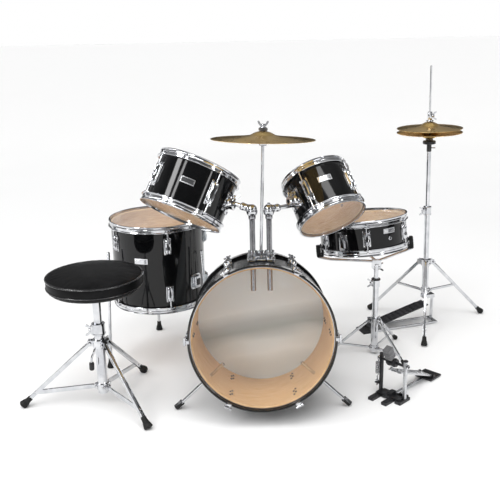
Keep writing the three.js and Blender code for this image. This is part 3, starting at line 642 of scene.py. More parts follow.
# ---------------------------------------------------------------- rack toms
def rack_tom(unit, body, pre, Rr, hoopR, H, azs, badge_az, badge_z, vent_az):
    h = H / 2
    shell(unit, body, pre + "_shell_wrapped", Rr, H, [pre + "_shell"])
    hoops(unit, body, pre, Rr, hoopR, H, azs, [pre + "_top_hoop"], [pre + "_bottom_hoop"], h - 19.2 - 30)
    b = B()
    b.lathe(head_profile(Rr, h), "clear_film", 96)
    b.build(pre + "_batter_head", unit, body, [pre + "_head"])
    b = B()
    b.lathe(head_profile(Rr, h), "clear_film", 96, Matrix.Diagonal((1, 1, -1, 1)))
    b.build(pre + "_resonant_head", unit, body)
    b = B()
    for az in azs:
        lug(b, at_az(az, Rr - 0.5, 0), 72, 22, hoopR - Rr + 5.0)
        T = at_az(az, Rr, 0)
        b.box((3, 4.6, 34), 0.8, "black_plastic", T, at=(hoopR - Rr + 0.9, 0, 0))
    b.build(pre + "_lugs", unit, body)
    b = B()
    badge(b, Rr, badge_az, badge_z, 42, 18)
    vent(b, Rr, vent_az, 0)
    b.build(pre + "_badge", unit, body)
    # arm mount: plate, socket casting, wing bolt
    b = B()
    arcplate(b, Rr - 0.3, 0, 58, -30, 30, 3.6, "chrome", 12, 1.0)
    for y in (-22, 22):
        for z in (-23, 23):
            T = at_az(y / Rr / D, Rr + 3.2, z) @ Matrix.Rotation(90 * D, 4, "Y")
            b.lathe([(0, 0), (4.2, 0), (4.0, 1.4), (2.8, 2.4), (0, 2.6)], "chrome", 18, T)
    X = Matrix.Rotation(90 * D, 4, "Y")
    b.lathe([(7.0, 0), (19, 0), (18, 3), (13.6, 7), (12.6, 17), (13.6, 19), (13.2, 21.5), (7.0, 21.5)], "chrome", 32, Matrix.Translation((Rr + 2.8, 0, 0)) @ X)
    b.box((13, 9, 16), 2, "chrome", None, at=(Rr + 13, 0, 15))
    wing(b, look((Rr + 13, 0, 22), (0, 0, 1), (1, 0, 0)), "chrome", 0.95)
    b.build(pre + "_arm_mount", unit, body)
    # inside: washers and nuts of the mount
    b = B()
    b.lathe([(7.4, 0), (17, 0), (17.4, 0.7), (16.6, 1.8), (7.4, 1.8)], "chrome", 28, Matrix.Translation((Rr - 8.1, 0, 0)) @ X)
    for az in azs:
        for z in (-16, 16):
            T = at_az(az, Rr - 6.2, z) @ Matrix.Rotation(-90 * D, 4, "Y")
            b.lathe([(0, 0), (5.4, 0), (5.2, 0.8), (3.2, 1.0), (3.0, 3.4), (2.2, 4.0), (0, 4.1)], "chrome", 16, T)
    b.build(pre + "_inner_washers", unit, body)


rack_tom("ltom", "left_tom", "left_tom", 123.2, 131.8, 163, [231, 320, 50, 141], 284, 4, 284 - 180)
rack_tom("rtom", "right_tom", "right_tom", 100, 109.5, 162, [33, 117, 205, 293], 68, 12, 250)


# ---------------------------------------------------------------- floor tom
azs = [216, 288, 0, 72, 144]
shell("floor", "kit", "floor_tom_shell_wrapped", 153, 292, ["floor_tom_shell"])
hoops("floor", "kit", "floor_tom", 153, 161, 292, azs, ["floor_tom_top_hoop"], ["floor_tom_bottom_hoop"], 44)
b = B(); b.lathe(head_profile(153, 146), "clear_film", 112); b.build("floor_tom_batter_head", "floor", "kit", ["floor_tom_head"])
b = B(); b.lathe(head_profile(153, 146), "clear_film", 112, Matrix.Diagonal((1, 1, -1, 1))); b.build("floor_tom_resonant_head", "floor", "kit")
b = B()
for az in azs:
    for z in (80, -80):
        lug(b, at_az(az, 152.5, z), 52, 21, 12.5)
        b.box((3, 4.2, 22), 0.8, "black_plastic", at_az(az, 153, z), at=(8.4, 0, 0))
b.build("floor_tom_lugs", "floor", "kit")
b = B(); badge(b, 153, 255, 32, 44, 18); vent(b, 153, 255, -6); b.build("floor_tom_badge", "floor", "kit")
leg_az = {"back": 101, "left": 216, "right": 325}
for nm, az in leg_az.items():
    lo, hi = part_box("floor_tom_leg_" + nm)
    top = Vector(((lo.x + hi.x) / 2, (lo.y + hi.y) / 2, hi.z))

b = B()
for nm, az in leg_az.items():
    z = -56
    T = at_az(az, 152.4, z)
    oc = [(-17, -25), (17, -25), (25, -17), (25, 17), (17, 25), (-17, 25), (-25, 17), (-25, -17)]
    b.prism(oc, 0, 5.0, 1.2, "chrome", T @ Matrix.Rotation(90 * D, 4, "Y"))
    b.box((14, 24, 42), 3, "chrome", T, at=(8.5, 0, 0))
    b.box((2.6, 15, 22), 1.0, "black_plastic", T, at=(16.6, 0, 0))
    for y in (-19, 19):
        b.lathe([(0, 0), (3.6, 0), (3.4, 1.6), (2.2, 2.6), (0, 2.8)], "chrome", 16, T @ Matrix.Translation((4.6, y, 0)) @ Matrix.Rotation(90 * D, 4, "Y"))
b.build("floor_tom_leg_brackets", "floor", "kit")

# ---------------------------------------------------------------- snare drum
azs = [206, 266, 326, 26, 86, 146]
shell("snare", "snare", "snare_shell_wrapped", 143, 114, ["snare_shell"])
hoops("snare", "snare", "snare", 143, 150, 114, azs, ["snare_top_hoop"], ["snare_bottom_hoop"], 24)
b = B(); b.lathe(head_profile(143, 57), "clear_film", 112); b.build("snare_batter_head", "snare", "snare", ["snare_head"])
b = B(); b.lathe(head_profile(143, 57), "clear_film", 112, Matrix.Diagonal((1, 1, -1, 1))); b.build("snare_resonant_head", "snare", "snare")
b = B()
for az in azs:
    lug(b, at_az(az, 142.5, 0), 50, 21, 12)
    b.box((3, 4, 20), 0.8, "black_plastic", at_az(az, 143, 0), at=(8.2, 0, 0))
b.build("snare_lugs", "snare", "snare")
b = B(); badge(b, 143, 297, 17, 42, 16); vent(b, 143, 298, -8); b.build("snare_badge", "snare", "snare")
b = B()
for i in range(16):
    y = -22.5 + 3 * i
    pts = [(x, y, -53.2 - 1.0 * math.cos(x / 108 * math.pi / 2)) for x in range(-108, 109, 12)]
    T = Matrix.Rotation(56 * D, 4, "Z")
    b.tube(pts, 0.75, "wire", 8, T)
T = Matrix.Rotation(56 * D, 4, "Z")
for x in (-112, 112):
    b.box((12, 52, 1.6), 0.5, "chrome", T, at=(x, 0, -53.4))
b.build("snare_wires", "snare", "snare")
b = B()
T = at_az(236, 142.6, 0)
b.box((6, 30, 52), 2.0, "chrome", T, at=(3, 0, -8))
b.box((9, 14, 26), 2.0, "chrome", T, at=(6.2, 0, -14))
for z in (-28, 12):
    b.lathe([(0, 0), (3.4, 0), (3.2, 1.4), (2.2, 2.2), (0, 2.4)], "chrome", 16, T @ Matrix.Translation((6, 0, z)) @ Matrix.Rotation(90 * D, 4, "Y"))
T = at_az(56, 142.6, 0)
b.box((6, 30, 34), 2.0, "chrome", T, at=(3, 0, -24))
b.box((6, 22, 12), 1.6, "chrome", T, at=(7.6, 0, -30))
for y in (-8, 8):
    b.lathe([(0, 0), (3.0, 0), (2.9, 1.4), (2.0, 2.2), (0, 2.4)], "chrome", 16, T @ Matrix.Translation((10, y, -30)) @ Matrix.Rotation(90 * D, 4, "Y"))
b.build("snare_strainer_and_butt", "snare", "snare")

# ---------------------------------------------------------------- bass drum
b = B()
o = [(203, -285), (203, -15.5), (201.7, -14.2), (199.8, -14.0), (197, -16.8), (197, -283), (199.8, -286), (201.7, -285.8)]
b.lathe(o, "black_wrap_soft", 160, None, ["black_wrap_soft", "wood_edge", "wood_edge", "wood", "wood", "wood", "wood_edge", "wood_edge"])
b.build("bass_shell_wrapped", "bass", "kit", ["bass_shell"])
for nm, z0, z1 in (("front", -38, 0), ("rear", -300, -266)):
    b = B()
    s0, s1 = z0, z1
    prof = [(203.9, s0 + 1.2), (205.0, s0), (208.8, s0), (210, s0 + 1.4), (210, s0 + 8.4), (209.3, s0 + 9.0), (209.3, s0 + 10.6), (210, s0 + 11.2), (210, s1 - 11.2), (209.3, s1 - 10.6), (209.3, s1 - 9.0), (210, s1 - 8.4), (210, s1 - 2.2), (208.6, s1 - 0.3), (206.2, s1), (204.4, s1 - 0.7), (203.9, s1 - 2.4)]
    mt = ["black_lacquer"] * len(prof)
    for k in (5, 9):
        mt[k] = "chrome"
    b.lathe(prof, "black_lacquer", 160, None, mt)
    b.build("bass_" + nm + "_hoop_lacquered", "bass", "kit", ["bass_" + nm + "_hoop"])
b = B()
b.lathe([(0, -11.6), (192, -11.6), (196.5, -12.0), (200.5, -13.2), (202.8, -16.6), (203.6, -17.2), (203.6, -18.0), (202.9, -17.9), (199.9, -14.0), (196, -12.7), (192, -12.2), (0, -12.2)], "clear_film", 128)
b.build("bass_front_head_clear", "bass", "kit", ["bass_front_head"])
b = B()
b.lathe([(0, -288.2), (192, -288.2), (197, -287.7), (201, -286.6), (203.4, -283.6), (203.7, -283.8), (203.6, -285.2), (201.4, -287.9), (197, -288.9), (192, -289.2), (0, -289.2)], "grey_film", 128)
b.build("bass_batter_head_silver", "bass", "kit", ["bass_batter_head"])
b = B()
for z, sg in ((-14.4, 1), (-285.6, -1)):
    b.lathe([(203.2, z - sg * 4), (203.85, z - sg * 4), (203.85, z), (203.0, z + sg * 1.2), (201.6, z + sg * 0.9), (201.6, z + sg * 0.2)], "chrome", 128)
b.build("bass_flesh_hoops", "bass", "kit")
# lugs, claws and T-rods
FRONT = [62, 118, 0, 180, -62, -118]
b = B()
for az in FRONT:
    for z, sg in ((-74, 1), (-226, -1)):
        lug(b, at_az(az, 202.6, z), 52, 28, 15.5)
        b.box((3, 4.6, 22), 0.8, "black_plastic", at_az(az, 203, z), at=(11.2, 0, 0))
b.build("bass_lugs", "bass", "kit")
b = B()
for az in FRONT:
    for z0, sg in ((0, 1), (-300, -1)):
        A = at_az(az, 210, z0)
        if sg < 0:
            A = A @ Matrix.Diagonal((1, 1, -1, 1))
        # claw: a hook over the hoop's edge with a saddle on its side
        b.box((3.2, 17, 24), 1.2, "chrome", A, at=(1.9, 0, -9.5))
        b.box((9, 15, 3.2), 1.2, "chrome", A, at=(-1.6, 0, 1.6))
        b.box((9.5, 11, 9), 2.0, "chrome", A, at=(6.0, 0, -9.5))
        b.cyl(tuple(A @ Vector((6.5, 0, -60))), tuple(A @ Vector((6.5, 0, -4))), 2.9, "chrome", 14)
        b.lathe([(0, 0), (4.8, 0), (5.4, 2.0), (4.6, 6.0), (3.6, 7.5), (0, 7.5)], "chrome", 20, A @ Matrix.Translation((6.5, 0, -5.2)))
        if sg > 0 or abs(abs(az) - 90) > 40 or True:
            c = Vector((6.5, 0, 4.0))
            pa, pb = A @ (c + Vector((0, -12, 0))), A @ (c + Vector((0, 12, 0)))
            b.tube([pa, A @ (c + Vector((0, -9, 0))), A @ c, A @ (c + Vector((0, 9, 0))), pb], [3.0, 3.0, 2.7, 3.0, 3.0], "chrome", 14)
b.build("bass_claws_and_t_rods", "bass", "kit")
# screws seen inside the shell
b = B()
for az in FRONT:
    for z in (-74, -226):
        for dz, da in ((-21, 0.9), (-7, -0.9), (7, 0.9), (21, -0.9)):
            T = at_az(az + da, 197.2, z + dz) @ Matrix.Rotation(-90 * D, 4, "Y")
            b.lathe([(0, 0), (3.7, 0), (3.5, 0.8), (2.4, 1.1), (2.2, 2.6), (1.5, 3.1), (0, 3.2)], "black_plastic", 16, T)
b.build("bass_inner_screws", "bass", "kit")

# tom bracket on top of the bass drum
b = B()
C0 = (3, 0, -150)
b.lathe([(196, -186), (196.5, -186), (206.2, -186), (207.4, -184.8), (207.4, -115.2), (206.2, -114), (196.5, -114)], "chrome", 14, None, None, (78.5, 100))
b.box((80, 5, 71), 2.2, "chrome", None, at=(3, 207.5, -150), seg=3)
for x in (-21.4, 27.6):
    Y = look((x, 0, -150), (0, 1, 0), (1, 0, 0))
    b.lathe([(8.4, 208), (17.5, 208), (17.0, 210.5), (14.2, 213), (13.4, 228), (14.2, 229.2), (13.8, 231.6), (8.4, 231.8)], "chrome", 36, Y)
    sg = -1 if x < 0 else 1
    b.box((10, 12, 17), 1.6, "chrome", None, at=(x + sg * 2, 220, -130.5))
    wing(b, look((x + sg * 2, 220, -124.5), (0, 0, 1), (1, 0.25 * sg, 0)), "chrome", 0.92)
    b.lathe([(0, 0), (4.6, 0), (4.4, 1.6), (3.0, 2.6), (0, 2.8)], "chrome", 18, look((x, 210, -176), (0, 1, 0)))
b.box((17, 24, 22), 2.4, "chrome", None, at=(3.2, 219.5, -150))
wing(b, look((3.2, 222, -138.5), (0, 0, 1), (0, 1, 0)), "chrome", 0.72)
b.build("tom_bracket_clamps", "bass", "kit", ["tom_bracket"])


# ---------------------------------------------------------------- tom posts and arms
for sd, x in (("left", -21.4), ("right", 27.6)):
    b = B()
    Y = look((x, 0, -150), (0, 1, 0), (1, 0, 0))
    b.lathe([(6.6, 113), (7.4, 112), (8.0, 112.8), (8.0, 322), (9.6, 323.5), (10.6, 326), (10.8, 334), (9.8, 336.4), (0, 336.4), (0, 330), (6.6, 330)], "chrome_dark", 36, Y)
    # split ball housing under the knuckle
    b.lathe([(9.0, 334), (12.4, 335), (14.8, 338.5), (16.2, 343), (16.6, 347), (16.2, 349), (15.4, 349), (15.2, 345), (13.4, 340), (9.0, 337.4)], "chrome", 36, Y)
    b.build(sd + "_post_tube", "bass", sd + "_post", [sd + "_tom_post"])
for sd, unit, reach, Rr in (("left", "larm", None, 123.2), ("right", "rarm", None, 100)):
    kp = Vector(UNITS[unit][0])
    tp = Vector(UNITS[unit[0] + "tom"][0])
    reach = (tp - kp).length
    end = reach - Rr + 30
    b = B()
    X = Matrix.Rotation(90 * D, 4, "Y")
    b.ball((0, 0, 0), 15.2, "chrome", 36)
    b.lathe([(14.6, -3.2), (15.5, -2.8), (15.7, 0), (15.5, 2.8), (14.6, 3.2)], "chrome", 40, Matrix.Rotation(90 * D, 4, "X"))
    b.lathe([(0, 8), (12.6, 8), (12.8, 11), (11.0, 14), (10.6, 24), (11.6, 26), (11.6, 33), (10.6, 34.6), (0, 34.6)], "chrome", 32, X)
    b.lathe([(0, 20), (6.5, 20), (6.5, end - 1), (5.8, end), (0, end)], "chrome", 28, X)
    K = look((0, 0, -14.4) if sd == "left" else (0, 0, 14.4), (0, 0, -1) if sd == "left" else (0, 0, 1), (1, 0, 0))
    b.lathe([(0, 0), (5.2, 0), (5.2, 3.4), (4.6, 4.2), (0, 4.2)], "chrome", 6, K)
    b.build(sd + "_arm_casting", unit, sd + "_arm", [sd + "_tom_arm"])


# ---------------------------------------------------------------- cymbals
def cymbal(unit, body, name, Rr, z0, bellR, rise, flip, replaces, hole=6, bow=None, offset=0.0):
    """A dished disc with a bell: z0 is the rim. flip turns it bell down."""
    prof_t = []
    k = 26
    for i in range(k + 1):
        r = hole + (Rr - hole) * i / k
        if r < bellR:
            t = r / bellR
            z = rise - (rise - bow) * (t ** 2.3) * 0.97
        else:
            t = (r - bellR) / (Rr - bellR)
            z = bow * (1 - t) ** 1.25 * 1.0 + (rise - (rise - bow) * 0.97 - bow) * max(0, 1 - t * 6)
        prof_t.append((r, z))
    th = 1.1
    loop = [(r, z + 0.0) for r, z in prof_t] + [(Rr + 0.15, -0.5)] + [(r, z - th) for r, z in reversed(prof_t)]
    T = Matrix.Translation((0, 0, z0 + offset)) @ (Matrix.Diagonal((1, 1, -1, 1)) if flip else Matrix.Identity(4))
    b = B()
    b.lathe(loop, "bronze", 144, T)
    return b.build(name, unit, body, replaces, angle=50)


cymbal("crash", "crash", "crash_cymbal_turned", 149.5, 1.0, 36, 23, False, ["crash_cymbal"] if "crash_cymbal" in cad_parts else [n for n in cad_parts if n.startswith("crash") and "rod" not in n], bow=11)
cymbal("hh", "hihat_upper", "hihat_bottom_cymbal_turned", 114, 719.5, 34, 22.5, True, ["hihat_bottom_cymbal"], bow=8)
cymbal("hh", "hihat_rod", "hihat_top_cymbal_turned", 114, 735, 34, 22.5, False, ["hihat_top_cymbal"], bow=8)

# crash top: cup, felts, washer and wing nut on the threaded rod
b = B()
b.lathe([(4.5, 24.4), (12, 24.6), (13, 26.5), (13, 31), (12, 33), (4.5, 33.2)], "felt", 32)
b.lathe([(4.4, 33.3), (9.5, 33.3), (9.9, 33.9), (9.5, 34.9), (4.4, 34.9)], "chrome", 28)
wing(b, Matrix.Translation((0, 0, 35.6)) @ Matrix.Rotation(8 * D, 4, "Z"), "chrome", 0.98)
b.build("crash_wing_nut_and_felt", "crash", "crash_rod")
b = B()
b.lathe([(4.6, -17), (10.5, -17), (11.6, -15.8), (12.4, -8), (12.4, -5.6), (4.6, -5.2)], "chrome", 32)
b.lathe([(4.6, -5.1), (12.4, -5.0), (13.2, -3), (13.2, 5), (12, 8.0), (4.6, 8.4)], "felt", 32)
b.build("crash_seat_cup_and_felt", "crash", "crash_rod")

# ---------------------------------------------------------------- throne seat
Rs, zb, zt = 141, 372.4, 419.0
b = B()
prof = [(0, zb), (120, zb), (130, zb + 0.6), (135.6, zb + 3.4), (138.0, zb + 9), (138.6, zb + 16), (138.6, zt - 16), (138.4, zt - 10), (136.8, zt - 5.4), (133.0, zt - 2.2), (127, zt - 0.6), (112, zt + 0.6), (84, zt + 1.7), (50, zt + 2.3), (22, zt + 2.5), (0, zt + 2.5)]
# closed solid: walk the outline with finer steps
fine = []
for i in range(len(prof) - 1):
    a, c = Vector((*prof[i], 0)), Vector((*prof[i + 1], 0))
    st = max(1, int((c - a).length / 6))
    for j in range(st):
        q = a.lerp(c, j / st)
        fine.append((q.x if (i, j) != (0, 0) else 0, q.y))
fine.append((0, prof[-1][1]))
b.lathe(fine, "vinyl", 96)
seat = b.build("throne_seat_cushion", "throne", None, angle=60)
rm = seat.modifiers.new("remesh", "REMESH")
rm.mode = "VOXEL"
rm.voxel_size = 0.005
rm.use_smooth_shade = True
bpy.context.view_layer.update()
dg = bpy.context.evaluated_depsgraph_get()
me2 = bpy.data.meshes.new_from_object(seat.evaluated_get(dg))
seat.modifiers.clear()
seat.data = me2
rest = [v.co.copy() for v in me2.vertices]

def pinned(co):
    r = math.hypot(co.x, co.y) * 1000
    z = co.z * 1000
    return z < zb + 6 or (abs(z - (zt - 8)) < 3.4 and r > 130) or (abs(z - (zb + 12)) < 3.0 and r > 130)

vg = seat.vertex_groups.new(name="pin")
vg.add([i for i, c in enumerate(rest) if pinned(c)], 1.0, "REPLACE")
cm = seat.modifiers.new("cloth", "CLOTH")
cs = cm.settings
cs.vertex_group_mass = "pin"
cs.use_pressure = True
cs.uniform_pressure_force = 4.0
cs.effector_weights.gravity = 0
cs.quality = 5
cs.mass = 0.3
cs.tension_stiffness = 12
cs.compression_stiffness = 12
cs.bending_stiffness = 0.6
cm.point_cache.frame_start = 1
cm.point_cache.frame_end = 20
for fr in range(1, 21):
    scene.frame_set(fr)
dg = bpy.context.evaluated_depsgraph_get()
ev = seat.evaluated_get(dg)
moved = [v.co.copy() for v in ev.data.vertices]
seat.modifiers.clear()
seat.vertex_groups.clear()
scene.frame_set(1)
for i, v in enumerate(me2.vertices):
    d = moved[i] - rest[i]
    if d.length > 0.005:
        d = d.normalized() * 0.005
    v.co = rest[i] + d
sub = seat.modifiers.new("sub", "SUBSURF")
sub.levels = sub.render_levels = 1
sm = seat.modifiers.new("smooth", "SMOOTH")
sm.factor = 0.5
sm.iterations = 3
bpy.context.view_layer.update()
dg = bpy.context.evaluated_depsgraph_get()
me3 = bpy.data.meshes.new_from_object(seat.evaluated_get(dg))
seat.modifiers.clear()
seat.data = me3
seat.data.shade_smooth()
if not seat.data.materials or seat.data.materials[0] is None:
    seat.data.materials.clear()
    seat.data.materials.append(MATS["vinyl"])
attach(seat, "throne_seat")
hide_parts("throne_seat")
b = B()
T0 = Matrix.Identity(4)


def ring(Rm, z, r, mat, n=128, k=10):
    b.lathe([(Rm + r * math.cos(2 * math.pi * i / k), z + r * math.sin(2 * math.pi * i / k)) for i in range(k)], mat, n)


ring(138.6, zt - 8, 2.3, "piping")
ring(138.8, zb + 12, 1.6, "piping")
b.build("throne_seat_piping", "throne", "throne_seat")
b = B()
b.lathe([(28, zb - 3.2), (126, zb - 3.2), (128, zb - 2), (128, zb - 0.2), (28, zb - 0.2)], "black_plastic", 80)
b.build("throne_seat_pan", "throne", "throne_seat")


# ---------------------------------------------------------------- legs with moulded feet
def boot(b, tip, axis, r0, r1, L, zfloor, mat="rubber"):
    """A flared rubber foot round the end of a leg, cut flat where it stands."""
    n0 = len(b.v)
    b.lathe([(0, -1.5), (r1 - 1.6, -1.5), (r1, 0.8), (r1 - 0.4, 4), (r0 + (r1 - r0) * 0.46, L * 0.42), (r0 + 1.0, L * 0.72), (r0 + 1.1, L - 3), (r0 + 0.2, L), (0, L)], mat, 32, look(tip, axis))
    for k in (0.30, 0.42):
        rr = r0 + (r1 - r0) * (0.62 if k < 0.4 else 0.46)
        b.lathe([(rr, L * k - 1), (rr + 0.9, L * k), (rr, L * k + 1), (rr - 1, L * k)], mat, 32, look(tip, axis))
    for i in range(n0, len(b.v)):
        x, y, z = b.v[i]
        b.v[i] = (x, y, max(z, zfloor + 0.3))


def tripod_leg(name, unit, node, body, pivot_p, foot_xy, half, foot_r, r1, L):
    pv = Vector(pivot_p)
    flat = Vector((foot_xy[0] - pv.x, foot_xy[1] - pv.y, 0))
    phi0 = math.atan2(flat.length, pv.z)
    tip = Vector((foot_xy[0], foot_xy[1], foot_r * math.sin(phi0) + 0.3))
    d = (tip - pv).normalized()
    side_ = Vector((0, 0, 1)).cross(flat.normalized())
    T = look(pv, d, side_)
    full = (tip - pv).length
    b = B()
    w = 2 * half
    b.box((w, w, full - 6 + half), 1.1, "chrome", T, at=(0, 0, (full - 6 - half) / 2), seg=3)
    # a pressed channel: two thin flanges standing along the bar
    for sg in (1, -1):
        b.box((1.1, w + 1.3, full - 30), 0.45, "chrome", T, at=(sg * (half - 0.3), 0, (full - 30) / 2 + 4))
    for z in (full * 0.82, full * 0.46):
        for sg in (1, -1):
            b.lathe([(0, 0), (half * 0.62, 0), (half * 0.58, 0.8), (0, 1.3)], "chrome", 16, T @ Matrix.Translation((sg * (half + 0.2), 0, z)) @ Matrix.Rotation(sg * 90 * D, 4, "Y"))
    boot(b, tip, -d, half * 1.45, r1, L, 0)
    b.build(name, unit, body, [node])


for i, a in enumerate([50, 176, -56]):
    tripod_leg(f"snare_stand_leg_{i + 1}_bar", "sstand", f"snare_stand_leg_{i + 1}", f"snare_leg_{i + 1}", polar(a, 20, 122), polar(a, 150, 0)[:2], 3, 7, 8.6, 24)
HH = umat("hhfloor").inverted() @ umat("hh")
for i, (a, fr) in enumerate(zip([18.2, 141.6, 257.2], [251.5, 236.2, 234.1])):
    pv = HH @ (polar(a, 25, 239) * MM) / MM
    tripod_leg(f"hihat_leg_{i + 1}_bar", "hhfloor", f"hihat_leg_{i + 1}", f"hihat_leg_{i + 1}", pv, polar(a, fr, 0)[:2], 4.5, 9, 11.5, 30)
for i, (a, fr) in enumerate(zip([184, 313, 66], [243, 227, 231])):
    tripod_leg(f"throne_leg_{i + 1}_bar", "throne", f"throne_leg_{i + 1}", f"throne_leg_{i + 1}", polar(a, 28, 200), polar(a, fr, 0)[:2], 5, 10.5, 13.4, 34)
for nm, az in leg_az.items():
    b = B()
    tp, en = polar(az, 185, 54), polar(az, 207, -345)
    d = (en - tp).normalized()
    b.cyl(tp, en - d * 6, 5, "chrome", 28, 1.2)
    for k in range(3):
        b.lathe([(4.9, -1.2), (5.5, -0.5), (5.5, 0.5), (4.9, 1.2)], "chrome", 28, look(tp + d * (14 + 9 * k), d))
    boot(b, en, -d, 6.0, 12.2, 34, -346)
    b.build("floor_tom_leg_" + nm + "_rod", "floor", "floor_leg_" + nm, ["floor_tom_leg_" + nm])


# ---------------------------------------------------------------- carried-over CAD nodes
def dress(node, mat, rules=(), bevel=0.5):
    """Better finish on a CAD node: rules is [(test of a face centre in row mm, material)]."""
    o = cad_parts[node]
    me = o.data
    me.materials.clear()
    me.materials.append(MATS[mat])
    for t, mm in rules:
        me.materials.append(MATS[mm])
    if rules:
        for p in me.polygons:
            c = p.center * 1000
            for k, (t, mm) in enumerate(rules):
                if t(c):
                    p.material_index = k + 1
                    break
            else:
                p.material_index = 0
    else:
        for p in me.polygons:
            p.material_index = 0
    me.shade_smooth()
    me.set_sharp_from_angle(angle=34 * D)
    if bevel:
        bv = o.modifiers.new("edges", "BEVEL")
        bv.width = bevel * MM
        bv.segments = 2
        bv.limit_method = "ANGLE"
        bv.angle_limit = 40 * D
        bv.use_clamp_overlap = True
        bv.harden_normals = False


left = [n for n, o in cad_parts.items() if not o.hide_render]
FOOT = 26.5
for n in left:
    if n.startswith("floor_tom_leg"):
        dress(n, "chrome", [(lambda c: c.z < 30.5, "rubber")])
    elif n.startswith("spur") or "spur" in n:
        lo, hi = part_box(n)
        dress(n, "chrome", [(lambda c, z=lo.z * 1000 + 20: c.z < z, "rubber")])
    elif n.startswith("snare_stand_leg"):
        dress(n, "chrome", [(lambda c: c.z < 22.5, "rubber")])
    elif n.startswith("hihat_leg"):
        dress(n, "chrome", [(lambda c: c.z < 26.5, "rubber")])
    elif n.startswith("throne_leg"):
        dress(n, "chrome", [(lambda c: c.z < 30.5, "rubber")])
    elif n == "pedal_frame":
        inv = umat("pedal").inverted()
        dress(n, "dark_casting", [(lambda c: (inv @ (c * MM)).y * 1000 < -36 and c.z > 14, "satin"), (lambda c: (inv @ (c * MM)).x * 1000 > 160, "diamond"), (lambda c: abs((inv @ (c * MM)).y * 1000) < 5 and 20 < (inv @ (c * MM)).x * 1000 < 160 and c.z < 12, "chrome")])
    elif n == "pedal_beater":
        inv2 = umat("pedal").inverted()
        dress(n, "dark_casting", [(lambda c: c.z > 129, "beater_felt")])
    elif n == "hihat_upper_tube":
        dress(n, "chrome", [(lambda c: c.z > 688.6, "felt"), (lambda c: c.z > 679.5, "black_plastic")])
    elif n == "hihat_pull_rod":
        dress(n, "chrome", [(lambda c: 741 < c.z < 749, "felt")])
    elif n == "hihat_base_tube":
        dress(n, "chrome", [(lambda c: c.z < 12 and (c - Vector((556.95, 307.9, 0))).to_2d().length > 205, "diamond")])
    elif n in ("pedal_footboard",):
        dress(n, "satin")
    elif n == "hihat_footboard":
        dress(n, "diamond")
    else:
        dress(n, "chrome")


# ---------------------------------------------------------------- stand details
def brace(name, p0, p1, width, thick):
    """A flat link from the collar to the leg."""
    a, c = Vector(p0), Vector(p1)
    Lg = (c - a).length
    side_ = Vector((-(c - a).y, (c - a).x, 0)).normalized()
    T = look(a, c - a, side_)
    b = B()
    k = 15
    w2, t2 = width / 2, thick / 2
    sec = [(-t2, -w2 + 0.8), (-t2 + 0.5, -w2), (t2 - 0.5, -w2), (t2, -w2 + 0.8), (t2, w2 - 0.8), (t2 - 0.5, w2), (-t2 + 0.5, w2), (-t2, w2 - 0.8)]
    verts, faces = [], []
    for i in range(k + 1):
        z = Lg * i / k
        e = min(i, k - i)
        f = 0.55 if e == 0 else 1.0
        for x, y in sec:
            verts.append((x, y * f, z))
    n8 = len(sec)
    for i in range(k):
        for j in range(n8):
            j2 = (j + 1) % n8
            faces.append([i * n8 + j, i * n8 + j2, (i + 1) * n8 + j2, (i + 1) * n8 + j])
    faces.append(list(range(n8))[::-1])
    faces.append(list(range(k * n8, (k + 1) * n8)))
    b.add(verts, faces, "chrome", T)
    for z in (4, Lg - 4):
        for sg in (1, -1):
            b.lathe([(0, 0), (2.9, 0), (2.8, 0.9), (1.8, 1.6), (0, 1.8)], "chrome", 16, T @ Matrix.Translation((sg * t2, 0, z)) @ Matrix.Rotation(sg * 90 * D, 4, "Y"))
    ob = b.build(name, "row", None)
    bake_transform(ob)
    return ob


def tripod_braces(pre, unit, azs, feet, hub_z, hub_r, col_z, col_r, t, width, thick):
    U0 = Vector(UNITS[unit][0])
    for i, (az, fr) in enumerate(zip(azs, feet)):
        hub = U0 + polar(az, hub_r, hub_z)
        foot = U0 + polar(az, fr, 14)
        onleg = hub.lerp(foot, t)
        off = Vector((-math.sin(az * D), math.cos(az * D), 0)) * 0
        col = U0 + polar(az, col_r, col_z)
        brace(f"{pre}_brace_{i + 1}", col + off, onleg + off, width, thick)


tripod_braces("snare_stand", "sstand", [50, 176, -56], [150] * 3, 122, 20, 22, 13, 0.80, 8, 2.4)
tripod_braces("hihat", "hhfloor", [18.2, 141.6, 257.2], [251.5, 236.2, 234.1], 239, 25, 128, 14, 0.46, 10, 2.6)
tripod_braces("throne", "throne", [184, 313, 66], [243, 227, 231], 200, 28, 60, 17, 0.82, 15, 2.6)

# pivot bolts and collars of the three tripods
for pre, unit, body, azs, hz, hr, cz, cr, sc in (("snare_stand", "sstand", "snare_sleeve", [50, 176, -56], 122, 20, 22, 12.5, 0.8), ("hihat", "hhfloor", "hihat_sleeve", [18.2, 141.6, 257.2], 239, 25, 128, 14, 1.0), ("throne", "throne", "throne_base", [184, 313, 66], 200, 28, 60, 17.5, 1.15)):
    b = B()
    for az in azs:
        for z, r in ((hz, hr), (cz, cr + 1.5)):
            T = at_az(az, r, z)
            for sg in (1, -1):
                b.lathe([(0, 0), (4.6 * sc, 0), (4.6 * sc, 1.6), (3.6 * sc, 2.6), (0, 2.8)], "chrome", 6 if sg > 0 else 18, T @ Matrix.Translation((0, sg * (8.0 * sc + 1.2), 0)) @ Matrix.Rotation(-sg * 90 * D, 4, "X"))
            b.cyl(tuple(T @ Vector((0, -8.5 * sc, 0))), tuple(T @ Vector((0, 8.5 * sc, 0))), 2.3 * sc, "chrome", 14)
        T = at_az(az, cr, cz)
        for sg in (1, -1):
            b.box((9 * sc, 2.2, 13 * sc), 0.8, "chrome", T, at=(1.5, sg * 3.4 * sc, 0))
    b.build(pre + "_pivot_bolts", unit, body)

